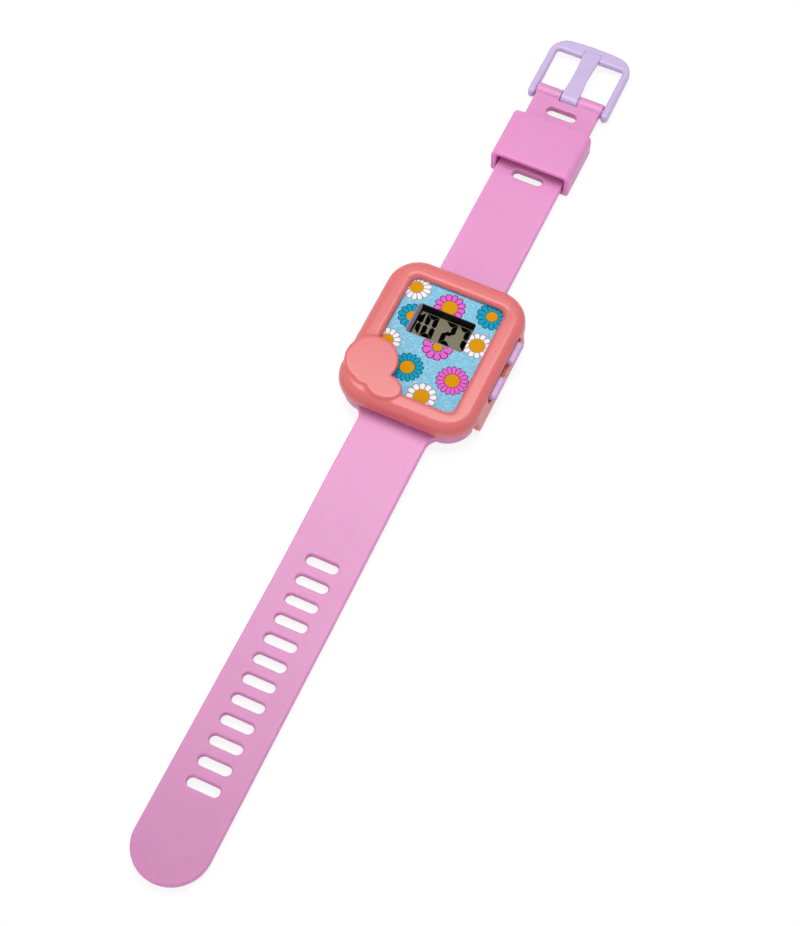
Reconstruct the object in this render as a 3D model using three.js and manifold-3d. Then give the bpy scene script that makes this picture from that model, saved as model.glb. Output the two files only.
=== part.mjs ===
// Toy watch: a soft one-piece strap and case, a cover that clips over the face,
// a small display module inside the case, and a pin buckle with a sliding keeper.
// Millimetres. +Z is up off the table, +Y runs along the strap towards the buckle,
// +X points to the two side buttons. The origin is the middle of the case back.

import * as THREE from 'three';
import { mergeVertices } from 'three/addons/utils/BufferGeometryUtils.js';
import Module from 'manifold-3d';

const wasm = await Module();
wasm.setup();

// Driving dimensions: clearances
const seatGap = 0.15;
const fitGap = 0.3;
const runGap = 0.08;

// Driving dimensions: clip-on cover
const coverWidth = 32.2;
const coverLength = 38;
const coverTop = 8.7;
const coverWall = 1.2;
const coverCorner = 7.3;
const rollRadius = 2.4;
const skirtBottom = 0.9;
const skirtLength = 24.8;
const skirtCorner = 1.2;
const endWallBottom = 4.65;
const windowWidth = 21.7;
const windowLength = 28.1;
const windowCorner = 1.7;
const lipDrop = 0.3;
const lipRun = 0.4;
const crestRun = 1.05;
const appliqueThickness = 1.2;
const appliqueRise = 0.5;
const appliqueEdge = 0.3;
const openingEndRoom = 0.9;
const openingSideRoom = 0.33;
const bigLobeRadius = 5.85;
const smallLobeRadius = 3.4;
const bigLobeFromCorner = [6, 9.45];
const smallLobeFromCorner = [11.2, 4.85];

// Driving dimensions: soft strap and case moulding
const caseWall = 1.35;
const caseBottom = 0.3;
const baseInset = 0.9;
const flangeThickness = 0.8;
const flangeWidth = 1.6;
const caseRimBelowCard = 0.35;
const caseRollRadius = 2.5;
const caseRollHeight = 2.15;
const strapWidth = 16;
const tailTipWidth = 16.6;
const strapThickness = 2;
const strapLift = 1.4;
const tailLength = 110.9;
const tailSag = 1.1;
const tailSagStart = 7.65;
const tailSagRun = 40;
const flareRadius = 3.5;
const slotLength = 7.3;
const slotWidth = 2.4;
const tailSlotCount = 12;
const tailSlotPitch = 4.82;
const firstTailSlot = 36.7;
const topSlotFromPin = 5.2;
const topSlotPitch = 19.8;
const topLength = 58.9;
const endBeadRadius = 1.7;

// Driving dimensions: display module
const housingWall = 1;
const housingRoof = 0.85;
const bossRadius = 1.6;
const bossFromWall = 2.7;
const cardThickness = 0.35;
const displayWidth = 13.6;
const displayHeight = 8.05;
const displayCorner = 0.7;
const displayCentre = [-0.35, 4.84];
const displayRecess = 1.7;
const displayCollar = 0.8;
const glassBorder = 1;
const glassThickness = 1.1;
const reflectorThickness = 0.2;
const zebraWidth = 1.6;
const boardThickness = 0.6;
const chipRadius = 3.4;
const chipHeight = 0.8;
const chipShoulder = 3;
const crystalRadius = 1;
const crystalLength = 6;
const crystalEdge = 0.25;
const batteryRadius = 5.8;
const batteryHeight = 3.05;
const batteryRim = 0.35;
const batteryLidInset = 1;
const clipStandOff = 1.2;
const springStandOff = 0.9;
const tabFoot = 1;
const contactSheet = 0.2;
const contactWidth = 4;

// Driving dimensions: buttons
const buttonSpacing = 9.7;
const buttonMiddle = 1.9;
const buttonHeight = 5.25;
const capLength = 6;
const capWidth = 1.9;
const capRise = 0.8;
const capEdge = 0.5;
const stemLength = 3;
const stemWidth = 1.4;
const stemDrop = 0.2;
const stemCorner = 0.35;
const earLength = 5.2;
const earThickness = 0.8;
const buttonTravel = 0.8;
const pillThickness = 0.6;

// Driving dimensions: back plate and screws
const backThickness = 1.2;
const backGrip = 0.8;
const backEdge = 0.2;
const screwHeadRadius = 1.3;
const screwHeadHeight = 0.5;
const screwHeadEdge = 0.12;
const screwShankRadius = 0.7;
const screwLength = 3.6;
const screwRecess = 0.15;

// Driving dimensions: buckle and keeper
const armWidth = 1.75;
const frameThickness = 2.6;
const frameEdge = 0.55;
const frameReach = 12.5;
const barDepth = 2.8;
const barArch = 0.8;
const frameCorner = 4;
const frameInnerCorner = 0.8;
const armTail = 2.1;
const pinRadius = 0.6;
const pinSeat = 0.9;
const tongueWidth = 4.2;
const tongueThickness = 0.95;
const tongueCurl = 1.55;
const tongueOverBar = 1.8;
const tongueTipBevel = 0.45;
const tongueArch = 0.45;
const keeperLength = 13.3;
const keeperFromEnd = 17.45;
const keeperClear = 0.35;
const keeperInnerHeight = 4.8;
const keeperSide = 1.3;
const keeperTopWall = 1.1;
const keeperBottomWall = 0.9;
const keeperCorner = 1.5;
const keeperInnerCorner = 0.5;
const keeperEdge = 0.25;

// Facets of round stretches
const arcFacets = 4;
const rollFacets = 6;
const discFacets = 28;
const smallDiscFacets = 16;
const screwFacets = 12;
const pinFacets = 8;
const slotFacets = 3;
const strapFacets = 6;
const sagFacets = 8;
const smallFacets = 2;
const overcut = 1;
const runOut = 0.2;

// Sizes that follow from the driving dimensions
const coverHalf = [coverWidth / 2, coverLength / 2];
const innerHalf = coverHalf.map((half) => half - coverWall);
const caseHalf = innerHalf.map((half) => half - fitGap);
const pocketHalf = caseHalf.map((half) => half - caseWall);
const housingHalf = pocketHalf.map((half) => half - seatGap);
const roomHalf = housingHalf.map((half) => half - housingWall);
const baseHalf = coverHalf.map((half) => half - baseInset);
const flangeHalf = pocketHalf.map((half) => half - flangeWidth);
const backHalf = flangeHalf.map((half) => half + backGrip);
const windowHalf = [windowWidth / 2, windowLength / 2];
const innerCorner = coverCorner - coverWall;
const caseCorner = innerCorner - fitGap;
const pocketCorner = caseCorner - caseWall;
const housingCorner = pocketCorner - seatGap;
const baseCorner = coverCorner - baseInset;
const flangeCorner = pocketCorner - flangeWidth;

const rollCentre = coverTop - rollRadius;
const innerRoll = rollRadius - coverWall;
const lipUnderside = coverTop - coverWall;
const lipTop = coverTop - lipDrop;
const cardTop = lipUnderside - fitGap;
const roofTop = cardTop - cardThickness - seatGap;
const roofUnderside = roofTop - housingRoof;
const caseRim = cardTop - caseRimBelowCard;
const caseRollCentre = caseRim - caseRollHeight;
const baseTop = endWallBottom - fitGap;
const flangeUnderside = backThickness + seatGap;
const flangeTop = flangeUnderside + flangeThickness;
const housingBottom = flangeTop + seatGap;
const glassTop = cardTop - displayRecess;
const glassUnderside = glassTop - glassThickness;
const boardUnderside = backThickness + chipHeight + 2 * seatGap;
const boardTop = boardUnderside + boardThickness;
const springTop = backThickness + seatGap + contactSheet;
const batteryBottom = springTop + seatGap;
const batteryTop = batteryBottom + batteryHeight;
const glassHalf = [displayWidth / 2 + glassBorder, displayHeight / 2 + glassBorder];
const bossAt = roomHalf.map((half) => half - bossFromWall);
const batteryAt = [0, displayCentre[1] - glassHalf[1] - 2 * fitGap - batteryRadius];

const strapTop = strapLift + strapThickness;
const caseEnd = baseHalf[1];
const pinAt = [caseEnd + topLength, strapLift + strapThickness / 2];
const boreRadius = pinRadius + runGap;
const frameInnerHalf = strapWidth / 2 + fitGap;
const frameHalf = frameInnerHalf + armWidth;
const tongueRoom = tongueWidth / 2 + fitGap;
const barInner = pinAt[0] + frameReach;
const frameBottom = pinAt[1] - frameThickness / 2;
const frameTop = frameBottom + frameThickness;
const tongueTip = barInner + tongueOverBar;
const keeperInnerHalf = strapWidth / 2 + keeperClear;

const buttonRows = { upper: buttonMiddle + buttonSpacing / 2, lower: buttonMiddle - buttonSpacing / 2 };
const stemHeight = buttonHeight - stemDrop;
const capInner = housingHalf[0] + buttonTravel + seatGap;
const capOuter = coverHalf[0] + capRise;
const earOuter = roomHalf[0] - seatGap;
const stemInner = earOuter - earThickness - seatGap;
const pillInner = stemInner - pillThickness;
const tabFace = pillInner - buttonTravel - seatGap / 2;

// Geometry helpers

function solid(geometry) {
  const plain = geometry.clone();
  plain.deleteAttribute('normal');
  plain.deleteAttribute('uv');
  const welded = mergeVertices(plain, 1e-5);
  return new wasm.Manifold(new wasm.Mesh({
    numProp: 3,
    vertProperties: new Float32Array(welded.attributes.position.array),
    triVerts: new Uint32Array(welded.index.array),
  }));
}

function join(first, ...others) {
  return others.reduce((whole, piece) => whole.add(piece), first);
}

function cut(first, ...others) {
  return others.reduce((whole, piece) => whole.subtract(piece), first);
}

function geometryOf(body) {
  const { vertProperties, triVerts } = body.getMesh();
  const geometry = new THREE.BufferGeometry();
  geometry.setAttribute('position', new THREE.BufferAttribute(new Float32Array(vertProperties), 3));
  geometry.setIndex(new THREE.BufferAttribute(new Uint32Array(triVerts), 1));
  geometry.computeVertexNormals();
  return geometry;
}

// A straight prism of a shape between two heights, with its edges rounded by edge
function extruded(shape, low, high, edge = 0, facets = arcFacets) {
  const geometry = new THREE.ExtrudeGeometry(shape, {
    depth: high - low - 2 * edge,
    curveSegments: facets,
    bevelEnabled: edge > 0,
    bevelThickness: edge,
    bevelSize: edge,
    bevelOffset: -edge,
    bevelSegments: 2,
  });
  return geometry.translate(0, 0, low + edge);
}

function alongZ(shape, low, high, edge, facets) {
  return solid(extruded(shape, low, high, edge, facets));
}

// The shape's own x and y become Y and Z, and the prism runs along X
function alongX(shape, low, high, edge, facets) {
  const turn = new THREE.Matrix4().makeBasis(
    new THREE.Vector3(0, 1, 0),
    new THREE.Vector3(0, 0, 1),
    new THREE.Vector3(1, 0, 0),
  );
  return solid(extruded(shape, low, high, edge, facets).applyMatrix4(turn));
}

// The shape's own x and y become X and Z, and the prism runs along Y
function alongY(shape, low, high, edge, facets) {
  const turn = new THREE.Matrix4().makeBasis(
    new THREE.Vector3(1, 0, 0),
    new THREE.Vector3(0, 0, 1),
    new THREE.Vector3(0, -1, 0),
  );
  return solid(extruded(shape, -high, -low, edge, facets).applyMatrix4(turn));
}

function roundedRect([halfX, halfY], radius, [x, y] = [0, 0]) {
  const corner = Math.max(Math.min(radius, halfX - 0.01, halfY - 0.01), 0.01);
  const shape = new THREE.Shape();
  shape.moveTo(x + halfX, y - halfY + corner);
  shape.absarc(x + halfX - corner, y + halfY - corner, corner, 0, Math.PI / 2);
  shape.absarc(x - halfX + corner, y + halfY - corner, corner, Math.PI / 2, Math.PI);
  shape.absarc(x - halfX + corner, y - halfY + corner, corner, Math.PI, 1.5 * Math.PI);
  shape.absarc(x + halfX - corner, y - halfY + corner, corner, 1.5 * Math.PI, 2 * Math.PI);
  return shape;
}

function rectangle([lowX, highX], [lowY, highY]) {
  const shape = new THREE.Shape();
  shape.moveTo(lowX, lowY);
  shape.lineTo(highX, lowY);
  shape.lineTo(highX, highY);
  shape.lineTo(lowX, highY);
  return shape;
}

function box([lowX, highX], [lowY, highY], [lowZ, highZ]) {
  return alongZ(rectangle([lowX, highX], [lowY, highY]), lowZ, highZ);
}

function obround(length, width, [x, y] = [0, 0]) {
  const radius = width / 2;
  const reach = length / 2 - radius;
  const shape = new THREE.Shape();
  shape.absarc(x + reach, y, radius, -Math.PI / 2, Math.PI / 2);
  shape.absarc(x - reach, y, radius, Math.PI / 2, 1.5 * Math.PI);
  return shape;
}

function circle(radius, [x, y] = [0, 0]) {
  const shape = new THREE.Shape();
  shape.absarc(x, y, radius, 0, 2 * Math.PI);
  return shape;
}

function disc(radius, centre, low, high, edge = 0, facets = discFacets) {
  return alongZ(circle(radius, centre), low, high, edge, facets / 2);
}

// A closed skin through outlines of equal point count, each at its own height
function loft(sections) {
  const rings = sections.map(({ shape, z }) => ({ points: shape.extractPoints(arcFacets).shape, z }));
  const count = rings[0].points.length;
  const positions = rings.flatMap(({ points, z }) => points.flatMap((point) => [point.x, point.y, z]));
  const cap = THREE.ShapeUtils.triangulateShape(rings[0].points, []);
  const last = (rings.length - 1) * count;
  const indices = [];
  cap.forEach(([a, b, c]) => indices.push(c, b, a, last + a, last + b, last + c));
  for (let ring = 0; ring < rings.length - 1; ring += 1) {
    for (let step = 0; step < count; step += 1) {
      const a = ring * count + step;
      const b = ring * count + ((step + 1) % count);
      indices.push(a, b, b + count, a, b + count, a + count);
    }
  }
  const geometry = new THREE.BufferGeometry();
  geometry.setAttribute('position', new THREE.Float32BufferAttribute(positions, 3));
  geometry.setIndex(indices);
  return solid(geometry);
}

// A rounded-rectangle block whose upper edge rolls over in a circle about the height centre,
// cut level at the height top
function rolledBlock(half, corner, radius, centre, low, top) {
  const inset = (distance, z) => ({
    shape: roundedRect(half.map((side) => side - distance), corner - distance),
    z,
  });
  const endAngle = Math.asin(Math.min(1, (top - centre) / radius));
  const sections = [inset(0, low)];
  for (let step = 0; step <= rollFacets; step += 1) {
    const angle = (endAngle * step) / rollFacets;
    sections.push(inset(radius * (1 - Math.cos(angle)), centre + radius * Math.sin(angle)));
  }
  return loft(sections);
}

const parts = new THREE.Group();

function addPart(name, body, { colour, roughness, metalness = 0 }) {
  const material = new THREE.MeshStandardMaterial({ color: colour, roughness, metalness });
  const mesh = new THREE.Mesh(geometryOf(body), material);
  mesh.name = name;
  parts.add(mesh);
}

// Finishes
const softPink = { colour: 0xe89bcf, roughness: 0.55 };
const coral = { colour: 0xed8280, roughness: 0.35 };
const lilac = { colour: 0xc7b2db, roughness: 0.4 };
const darkPlastic = { colour: 0x1c1a1c, roughness: 0.5 };
const printedCard = { colour: 0x8ec6e6, roughness: 0.45 };
const displayGlass = { colour: 0x807a60, roughness: 0.15 };
const silverFilm = { colour: 0xc8cac4, roughness: 0.3, metalness: 0.6 };
const conductiveRubber = { colour: 0x2a2a2c, roughness: 0.8 };
const boardGreen = { colour: 0x1f5a34, roughness: 0.5 };
const epoxyBlack = { colour: 0x0d0d0e, roughness: 0.25 };
const steel = { colour: 0xc4c6c8, roughness: 0.3, metalness: 1 };

// Clip-on cover

// One end of the cover, below the short end wall, with the skirt's rounded corner
function endRelief(side) {
  const skirtEnd = skirtLength / 2;
  const shape = new THREE.Shape();
  const far = coverHalf[1] + overcut;
  shape.moveTo(skirtEnd - skirtCorner, skirtBottom - overcut);
  shape.lineTo(skirtEnd - skirtCorner, skirtBottom);
  shape.absarc(skirtEnd - skirtCorner, skirtBottom + skirtCorner, skirtCorner, -Math.PI / 2, 0);
  shape.lineTo(skirtEnd, endWallBottom);
  shape.lineTo(far, endWallBottom);
  shape.lineTo(far, skirtBottom - overcut);
  const reach = coverHalf[0] + overcut;
  const turned = extruded(shape, -reach, reach).applyMatrix4(new THREE.Matrix4().makeBasis(
    new THREE.Vector3(0, side, 0),
    new THREE.Vector3(0, 0, 1),
    new THREE.Vector3(side, 0, 0),
  ));
  return solid(turned);
}

function cover() {
  const shell = cut(
    rolledBlock(coverHalf, coverCorner, rollRadius, rollCentre, skirtBottom, coverTop),
    rolledBlock(innerHalf, innerCorner, innerRoll, rollCentre, skirtBottom - overcut, lipUnderside),
  );
  const grown = (run) => roundedRect(windowHalf.map((half) => half + run), windowCorner + run);
  const beyond = (from, to) => to + (to - from) * runOut;
  const windowCut = loft([
    { shape: grown(0), z: lipUnderside - overcut },
    { shape: grown(0), z: lipUnderside },
    { shape: grown(lipRun), z: lipTop },
    { shape: grown(beyond(lipRun, crestRun)), z: beyond(lipTop, coverTop) },
  ]);
  const openingLength = buttonSpacing + capLength + 2 * openingEndRoom;
  const openingWidth = capWidth + 2 * openingSideRoom;
  const sideOpening = alongX(
    obround(openingLength, openingWidth, [buttonMiddle, buttonHeight]),
    pocketHalf[0],
    coverHalf[0] + overcut,
  );
  const plateTop = coverTop + appliqueRise;
  const lobes = [[bigLobeFromCorner, bigLobeRadius], [smallLobeFromCorner, smallLobeRadius]];
  const plate = lobes.map(([fromCorner, radius]) => disc(
    radius,
    fromCorner.map((distance, axis) => distance - coverHalf[axis]),
    plateTop - appliqueThickness,
    plateTop,
    appliqueEdge,
  ));
  return join(cut(shell, windowCut, endRelief(1), endRelief(-1), sideOpening), ...plate);
}

// Soft strap and case in one moulding

// Where the strap's edge flares into the rounded corner of the case base
function flare() {
  const cornerX = baseHalf[0] - baseCorner;
  const cornerY = baseHalf[1] - baseCorner;
  const centreX = strapWidth / 2 + flareRadius;
  const reach = baseCorner + flareRadius;
  const centreY = cornerY + Math.sqrt(reach ** 2 - (centreX - cornerX) ** 2);
  return { x: centreX, y: centreY, end: Math.atan2(cornerY - centreY, cornerX - centreX) };
}

function strapOutline() {
  const edge = strapWidth / 2;
  const tip = tailTipWidth / 2;
  const tipCentre = -(caseEnd + tailLength - tip);
  const { x, y, end } = flare();
  const shape = new THREE.Shape();
  shape.moveTo(edge, pinAt[0]);
  shape.lineTo(edge, y);
  shape.absarc(x, y, flareRadius, Math.PI, 2 * Math.PI + end, false);
  shape.lineTo(edge, 0);
  shape.absarc(x, -y, flareRadius, -end, Math.PI, false);
  shape.lineTo(edge, -(caseEnd + firstTailSlot));
  shape.absarc(0, tipCentre, tip, 0, -Math.PI, true);
  shape.lineTo(-edge, -(caseEnd + firstTailSlot));
  shape.absarc(-x, -y, flareRadius, 0, Math.PI + end, false);
  shape.lineTo(-edge, 0);
  shape.absarc(-x, y, flareRadius, -Math.PI - end, 0, false);
  shape.lineTo(-edge, pinAt[0]);
  return shape;
}

// Side view of the strap: level from the buckle to the case, then sinking towards the table
function strapProfile() {
  const sagFrom = -(caseEnd + tailSagStart);
  const sagTo = sagFrom - tailSagRun;
  const far = -(caseEnd + tailLength + overcut);
  const ease = tailSagRun / 2;
  const shape = new THREE.Shape();
  shape.moveTo(pinAt[0], strapLift);
  shape.lineTo(pinAt[0], strapTop);
  shape.lineTo(sagFrom, strapTop);
  shape.bezierCurveTo(sagFrom - ease, strapTop, sagTo + ease, strapTop - tailSag, sagTo, strapTop - tailSag);
  shape.lineTo(far, strapTop - tailSag);
  shape.lineTo(far, strapLift - tailSag);
  shape.lineTo(sagTo, strapLift - tailSag);
  shape.bezierCurveTo(sagTo + ease, strapLift - tailSag, sagFrom - ease, strapLift, sagFrom, strapLift);
  return shape;
}

function strapSlots() {
  const outerTopSlot = pinAt[0] - topSlotFromPin;
  const places = [outerTopSlot, outerTopSlot - topSlotPitch];
  for (let hole = 0; hole < tailSlotCount; hole += 1) {
    places.push(-(caseEnd + firstTailSlot + hole * tailSlotPitch));
  }
  const top = strapTop + overcut;
  return places.map((y) => alongZ(obround(slotLength, slotWidth, [0, y]), -overcut, top, 0, slotFacets));
}

function buttonHole(y) {
  const hole = obround(capLength + 2 * fitGap, capWidth + 2 * seatGap, [y, buttonHeight]);
  return alongX(hole, pocketHalf[0] - overcut, coverHalf[0] + overcut);
}

function strapAndCase() {
  const width = Math.max(strapWidth, tailTipWidth) / 2 + flareRadius * 2;
  const strap = alongZ(strapOutline(), -overcut, strapTop + overcut, 0, strapFacets)
    .intersect(alongX(strapProfile(), -width, width, 0, sagFacets));
  const bead = alongX(circle(endBeadRadius, pinAt), -strapWidth / 2, strapWidth / 2, 0, pinFacets);
  const base = alongZ(roundedRect(baseHalf, baseCorner), caseBottom, baseTop);
  const wall = rolledBlock(caseHalf, caseCorner, caseRollRadius, caseRollCentre, caseBottom, caseRim);
  const skirtRoom = [1, -1].map((side) => {
    const edges = [side * caseHalf[0], side * (coverHalf[0] + overcut)].sort((a, b) => a - b);
    const reach = skirtLength / 2 + fitGap;
    return box(edges, [-reach, reach], [-overcut, baseTop + overcut]);
  });
  const body = join(cut(base, ...skirtRoom), wall, strap, bead);
  const pocket = alongZ(roundedRect(pocketHalf, pocketCorner), flangeTop, coverTop);
  const flangeHole = alongZ(roundedRect(flangeHalf, flangeCorner), -overcut, coverTop);
  const backRoom = alongZ(
    roundedRect(backHalf.map((half) => half + fitGap), flangeCorner + backGrip + fitGap),
    -overcut,
    flangeUnderside,
  );
  const notchFrom = pinAt[0] - tongueCurl - fitGap;
  const notch = box(
    [-tongueRoom, tongueRoom],
    [notchFrom, pinAt[0] + endBeadRadius + overcut],
    [-overcut, strapTop + endBeadRadius],
  );
  const bore = alongX(circle(boreRadius, pinAt), -strapWidth, strapWidth, 0, pinFacets);
  const buttonHoles = Object.values(buttonRows).map(buttonHole);
  return cut(body, pocket, flangeHole, backRoom, notch, bore, ...strapSlots(), ...buttonHoles);
}

// Display module housing: a dark shell, open towards the back

function cornerPlaces() {
  return [[1, 1], [-1, 1], [-1, -1], [1, -1]].map(([x, y]) => [x * bossAt[0], y * bossAt[1]]);
}

function displayOpening(grow = 0) {
  const half = [displayWidth / 2 + grow, displayHeight / 2 + grow];
  return roundedRect(half, displayCorner + grow, displayCentre);
}

function moduleHousing() {
  const shell = cut(
    alongZ(roundedRect(housingHalf, housingCorner), housingBottom, roofTop),
    alongZ(roundedRect(roomHalf, housingCorner - housingWall), housingBottom - overcut, roofUnderside),
  );
  const roofMiddle = roofUnderside + housingRoof / 2;
  const collar = alongZ(displayOpening(displayCollar), glassTop + seatGap, roofMiddle);
  const bossBottom = backThickness + seatGap;
  const bosses = cornerPlaces().map((at) => disc(bossRadius, at, bossBottom, roofMiddle, 0, smallDiscFacets));
  const pilotTop = screwRecess + screwHeadHeight + screwLength + fitGap;
  const pilots = cornerPlaces().map((at) => disc(
    screwShankRadius + seatGap,
    at,
    bossBottom - overcut,
    Math.min(pilotTop, roofTop - seatGap),
    0,
    screwFacets,
  ));
  const stemHalf = stemLength / 2 + seatGap;
  const notches = Object.values(buttonRows).map((y) => box(
    [roomHalf[0] - housingWall, housingHalf[0] + overcut],
    [y - stemHalf, y + stemHalf],
    [housingBottom - overcut, stemHeight + stemWidth / 2 + seatGap],
  ));
  const opening = alongZ(displayOpening(), housingBottom, coverTop);
  return cut(join(shell, collar, ...bosses), opening, ...pilots, ...notches);
}

function faceCard() {
  const outline = roundedRect(housingHalf.map((half) => half - seatGap), housingCorner - seatGap);
  return cut(
    alongZ(outline, cardTop - cardThickness, cardTop),
    alongZ(displayOpening(), cardTop - overcut, cardTop + overcut),
  );
}

// Display stack and circuit board

function displayPanel() {
  const outline = roundedRect(glassHalf, displayCorner, displayCentre);
  return alongZ(outline, glassUnderside, glassTop, 0, smallFacets);
}

function zebraStrip(side) {
  const y = displayCentre[1] + side * (glassHalf[1] - zebraWidth / 2 - seatGap);
  const reach = glassHalf[0] - displayCorner;
  return box(
    [displayCentre[0] - reach, displayCentre[0] + reach],
    [y - zebraWidth / 2, y + zebraWidth / 2],
    [boardTop + seatGap, glassUnderside - seatGap],
  );
}

function reflector() {
  const half = [glassHalf[0] - displayCorner, glassHalf[1] - zebraWidth - 2 * fitGap];
  const top = glassUnderside - seatGap / 2;
  const outline = roundedRect(half, displayCorner / 2, displayCentre);
  return alongZ(outline, top - reflectorThickness, top, 0, smallFacets);
}

function circuitBoard() {
  const half = roomHalf.map((side) => side - fitGap);
  const blank = alongZ(roundedRect(half, housingCorner - housingWall - fitGap), boardUnderside, boardTop);
  const low = boardUnderside - overcut;
  const high = boardTop + overcut;
  const bossHoles = cornerPlaces().map((at) => disc(bossRadius + fitGap, at, low, high, 0, smallDiscFacets));
  const cellHole = disc(batteryRadius + fitGap, batteryAt, low, high);
  return cut(blank, cellHole, ...bossHoles);
}

function chip() {
  const top = boardUnderside - seatGap / 2;
  const dome = new THREE.Shape();
  dome.moveTo(0, top - chipHeight);
  dome.quadraticCurveTo(chipShoulder, top - chipHeight, chipRadius, top);
  dome.lineTo(0, top);
  const profile = dome.extractPoints(arcFacets).shape;
  const turned = new THREE.LatheGeometry([...profile, profile[0]], smallDiscFacets).rotateX(Math.PI / 2);
  return solid(turned.translate(...displayCentre, 0));
}

// A tuning-fork can lying on the board beside the cell
function crystal() {
  const x = -(batteryRadius + roomHalf[0]) / 2;
  const z = boardTop + seatGap + crystalRadius;
  const start = batteryAt[1] - crystalLength / 2;
  return alongY(circle(crystalRadius, [x, z]), start, start + crystalLength, crystalEdge, strapFacets);
}

// Cell and its contacts

function battery() {
  const lid = batteryRadius - batteryLidInset;
  const can = disc(batteryRadius, batteryAt, batteryBottom + batteryRim, batteryTop, batteryRim / 2);
  return join(can, disc(lid, batteryAt, batteryBottom, batteryBottom + 2 * batteryRim));
}

// A sheet bridge over the cell, standing on the board on both sides
function batteryClip() {
  const out = batteryRadius + clipStandOff;
  const [x, y] = batteryAt;
  const foot = boardTop + seatGap;
  const under = batteryTop + seatGap;
  const shape = new THREE.Shape();
  shape.moveTo(x - out - contactSheet, foot);
  shape.lineTo(x - out, foot);
  shape.lineTo(x - out, under);
  shape.lineTo(x + out, under);
  shape.lineTo(x + out, foot);
  shape.lineTo(x + out + contactSheet, foot);
  shape.lineTo(x + out + contactSheet, under + contactSheet);
  shape.lineTo(x - out - contactSheet, under + contactSheet);
  return alongY(shape, y - contactWidth / 2, y + contactWidth / 2);
}

// A leaf under the cell that turns up to the board's underside
function batterySpring() {
  const [x, y] = batteryAt;
  const low = springTop - contactSheet;
  const out = x + batteryRadius + springStandOff;
  const shape = new THREE.Shape();
  shape.moveTo(x - batteryRadius / 2, low);
  shape.lineTo(out, low);
  shape.lineTo(out, boardUnderside - seatGap);
  shape.lineTo(out - contactSheet, boardUnderside - seatGap);
  shape.lineTo(out - contactSheet, springTop);
  shape.lineTo(x - batteryRadius / 2, springTop);
  return alongY(shape, y - contactWidth / 2, y + contactWidth / 2);
}

// A folded tab on the board that a pressed button reaches
function contactTab(y) {
  const foot = boardTop + seatGap;
  const back = tabFace - tabFoot;
  const shape = new THREE.Shape();
  shape.moveTo(back, foot);
  shape.lineTo(tabFace, foot);
  shape.lineTo(tabFace, stemHeight + stemWidth / 2);
  shape.lineTo(tabFace - contactSheet, stemHeight + stemWidth / 2);
  shape.lineTo(tabFace - contactSheet, foot + contactSheet);
  shape.lineTo(back, foot + contactSheet);
  return alongY(shape, y - stemLength / 2, y + stemLength / 2);
}

// Side buttons: a capsule cap, a stem through the housing wall and ears that hold it in

function button(y) {
  const cap = alongX(obround(capLength, capWidth, [y, buttonHeight]), capInner, capOuter, capEdge);
  const stem = alongX(
    roundedRect([stemLength / 2, stemWidth / 2], stemCorner, [y, stemHeight]),
    stemInner,
    capInner + capEdge * 2,
    0,
    smallFacets,
  );
  const ears = alongX(
    roundedRect([earLength / 2, stemWidth / 2], stemCorner, [y, stemHeight]),
    earOuter - earThickness,
    earOuter,
    0,
    smallFacets,
  );
  return join(cap, stem, ears);
}

function contactPill(y) {
  const outline = circle((stemWidth - seatGap) / 2, [y, stemHeight]);
  return alongX(outline, pillInner - seatGap / 2, stemInner - seatGap / 2, 0, pinFacets);
}

// Back plate and screws

function backPlate() {
  const corner = flangeCorner + backGrip;
  const headRoom = screwRecess + screwHeadHeight + seatGap;
  const plate = alongZ(roundedRect(backHalf, corner), 0, backThickness, backEdge);
  const holes = cornerPlaces().flatMap((at) => [
    disc(screwShankRadius + seatGap, at, -overcut, backThickness + overcut, 0, screwFacets),
    disc(screwHeadRadius + seatGap, at, -overcut, headRoom, 0, smallDiscFacets),
  ]);
  return cut(plate, ...holes);
}

function backScrew(at) {
  const headTop = screwRecess + screwHeadHeight;
  const head = disc(screwHeadRadius, at, screwRecess, headTop, screwHeadEdge, smallDiscFacets);
  const shankFrom = headTop - screwHeadHeight / 2;
  const shank = disc(screwShankRadius, at, shankFrom, headTop + screwLength, 0, screwFacets);
  return join(head, shank);
}

// Buckle

function frameOutline() {
  const tailY = pinAt[0] - armTail;
  const end = armWidth / 2;
  const shoulder = barInner + barDepth - frameCorner;
  const top = barInner + barDepth;
  const innerX = frameInnerHalf - frameInnerCorner;
  const innerY = barInner - frameInnerCorner;
  const shape = new THREE.Shape();
  shape.moveTo(frameHalf, tailY + end);
  shape.lineTo(frameHalf, shoulder);
  shape.absarc(frameHalf - frameCorner, shoulder, frameCorner, 0, Math.PI / 2);
  shape.quadraticCurveTo(0, top + 2 * barArch, -(frameHalf - frameCorner), top);
  shape.absarc(-(frameHalf - frameCorner), shoulder, frameCorner, Math.PI / 2, Math.PI);
  shape.lineTo(-frameHalf, tailY + end);
  shape.absarc(-(frameHalf - end), tailY + end, end, Math.PI, 2 * Math.PI);
  shape.lineTo(-frameInnerHalf, innerY);
  shape.absarc(-innerX, innerY, frameInnerCorner, Math.PI, Math.PI / 2, true);
  shape.absarc(innerX, innerY, frameInnerCorner, Math.PI / 2, 0, true);
  shape.lineTo(frameInnerHalf, tailY + end);
  shape.absarc(frameHalf - end, tailY + end, end, Math.PI, 2 * Math.PI);
  return shape;
}

function buckleFrame() {
  const frame = alongZ(frameOutline(), frameBottom, frameTop, frameEdge, slotFacets);
  const seatFloor = frameTop - tongueThickness - fitGap;
  const seat = box(
    [-tongueRoom, tongueRoom],
    [barInner - overcut, tongueTip + fitGap],
    [seatFloor, frameTop + overcut],
  );
  const reach = frameInnerHalf + pinSeat + fitGap;
  const bore = alongX(circle(boreRadius, pinAt), -reach, reach, 0, pinFacets);
  return cut(frame, seat, bore);
}

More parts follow.
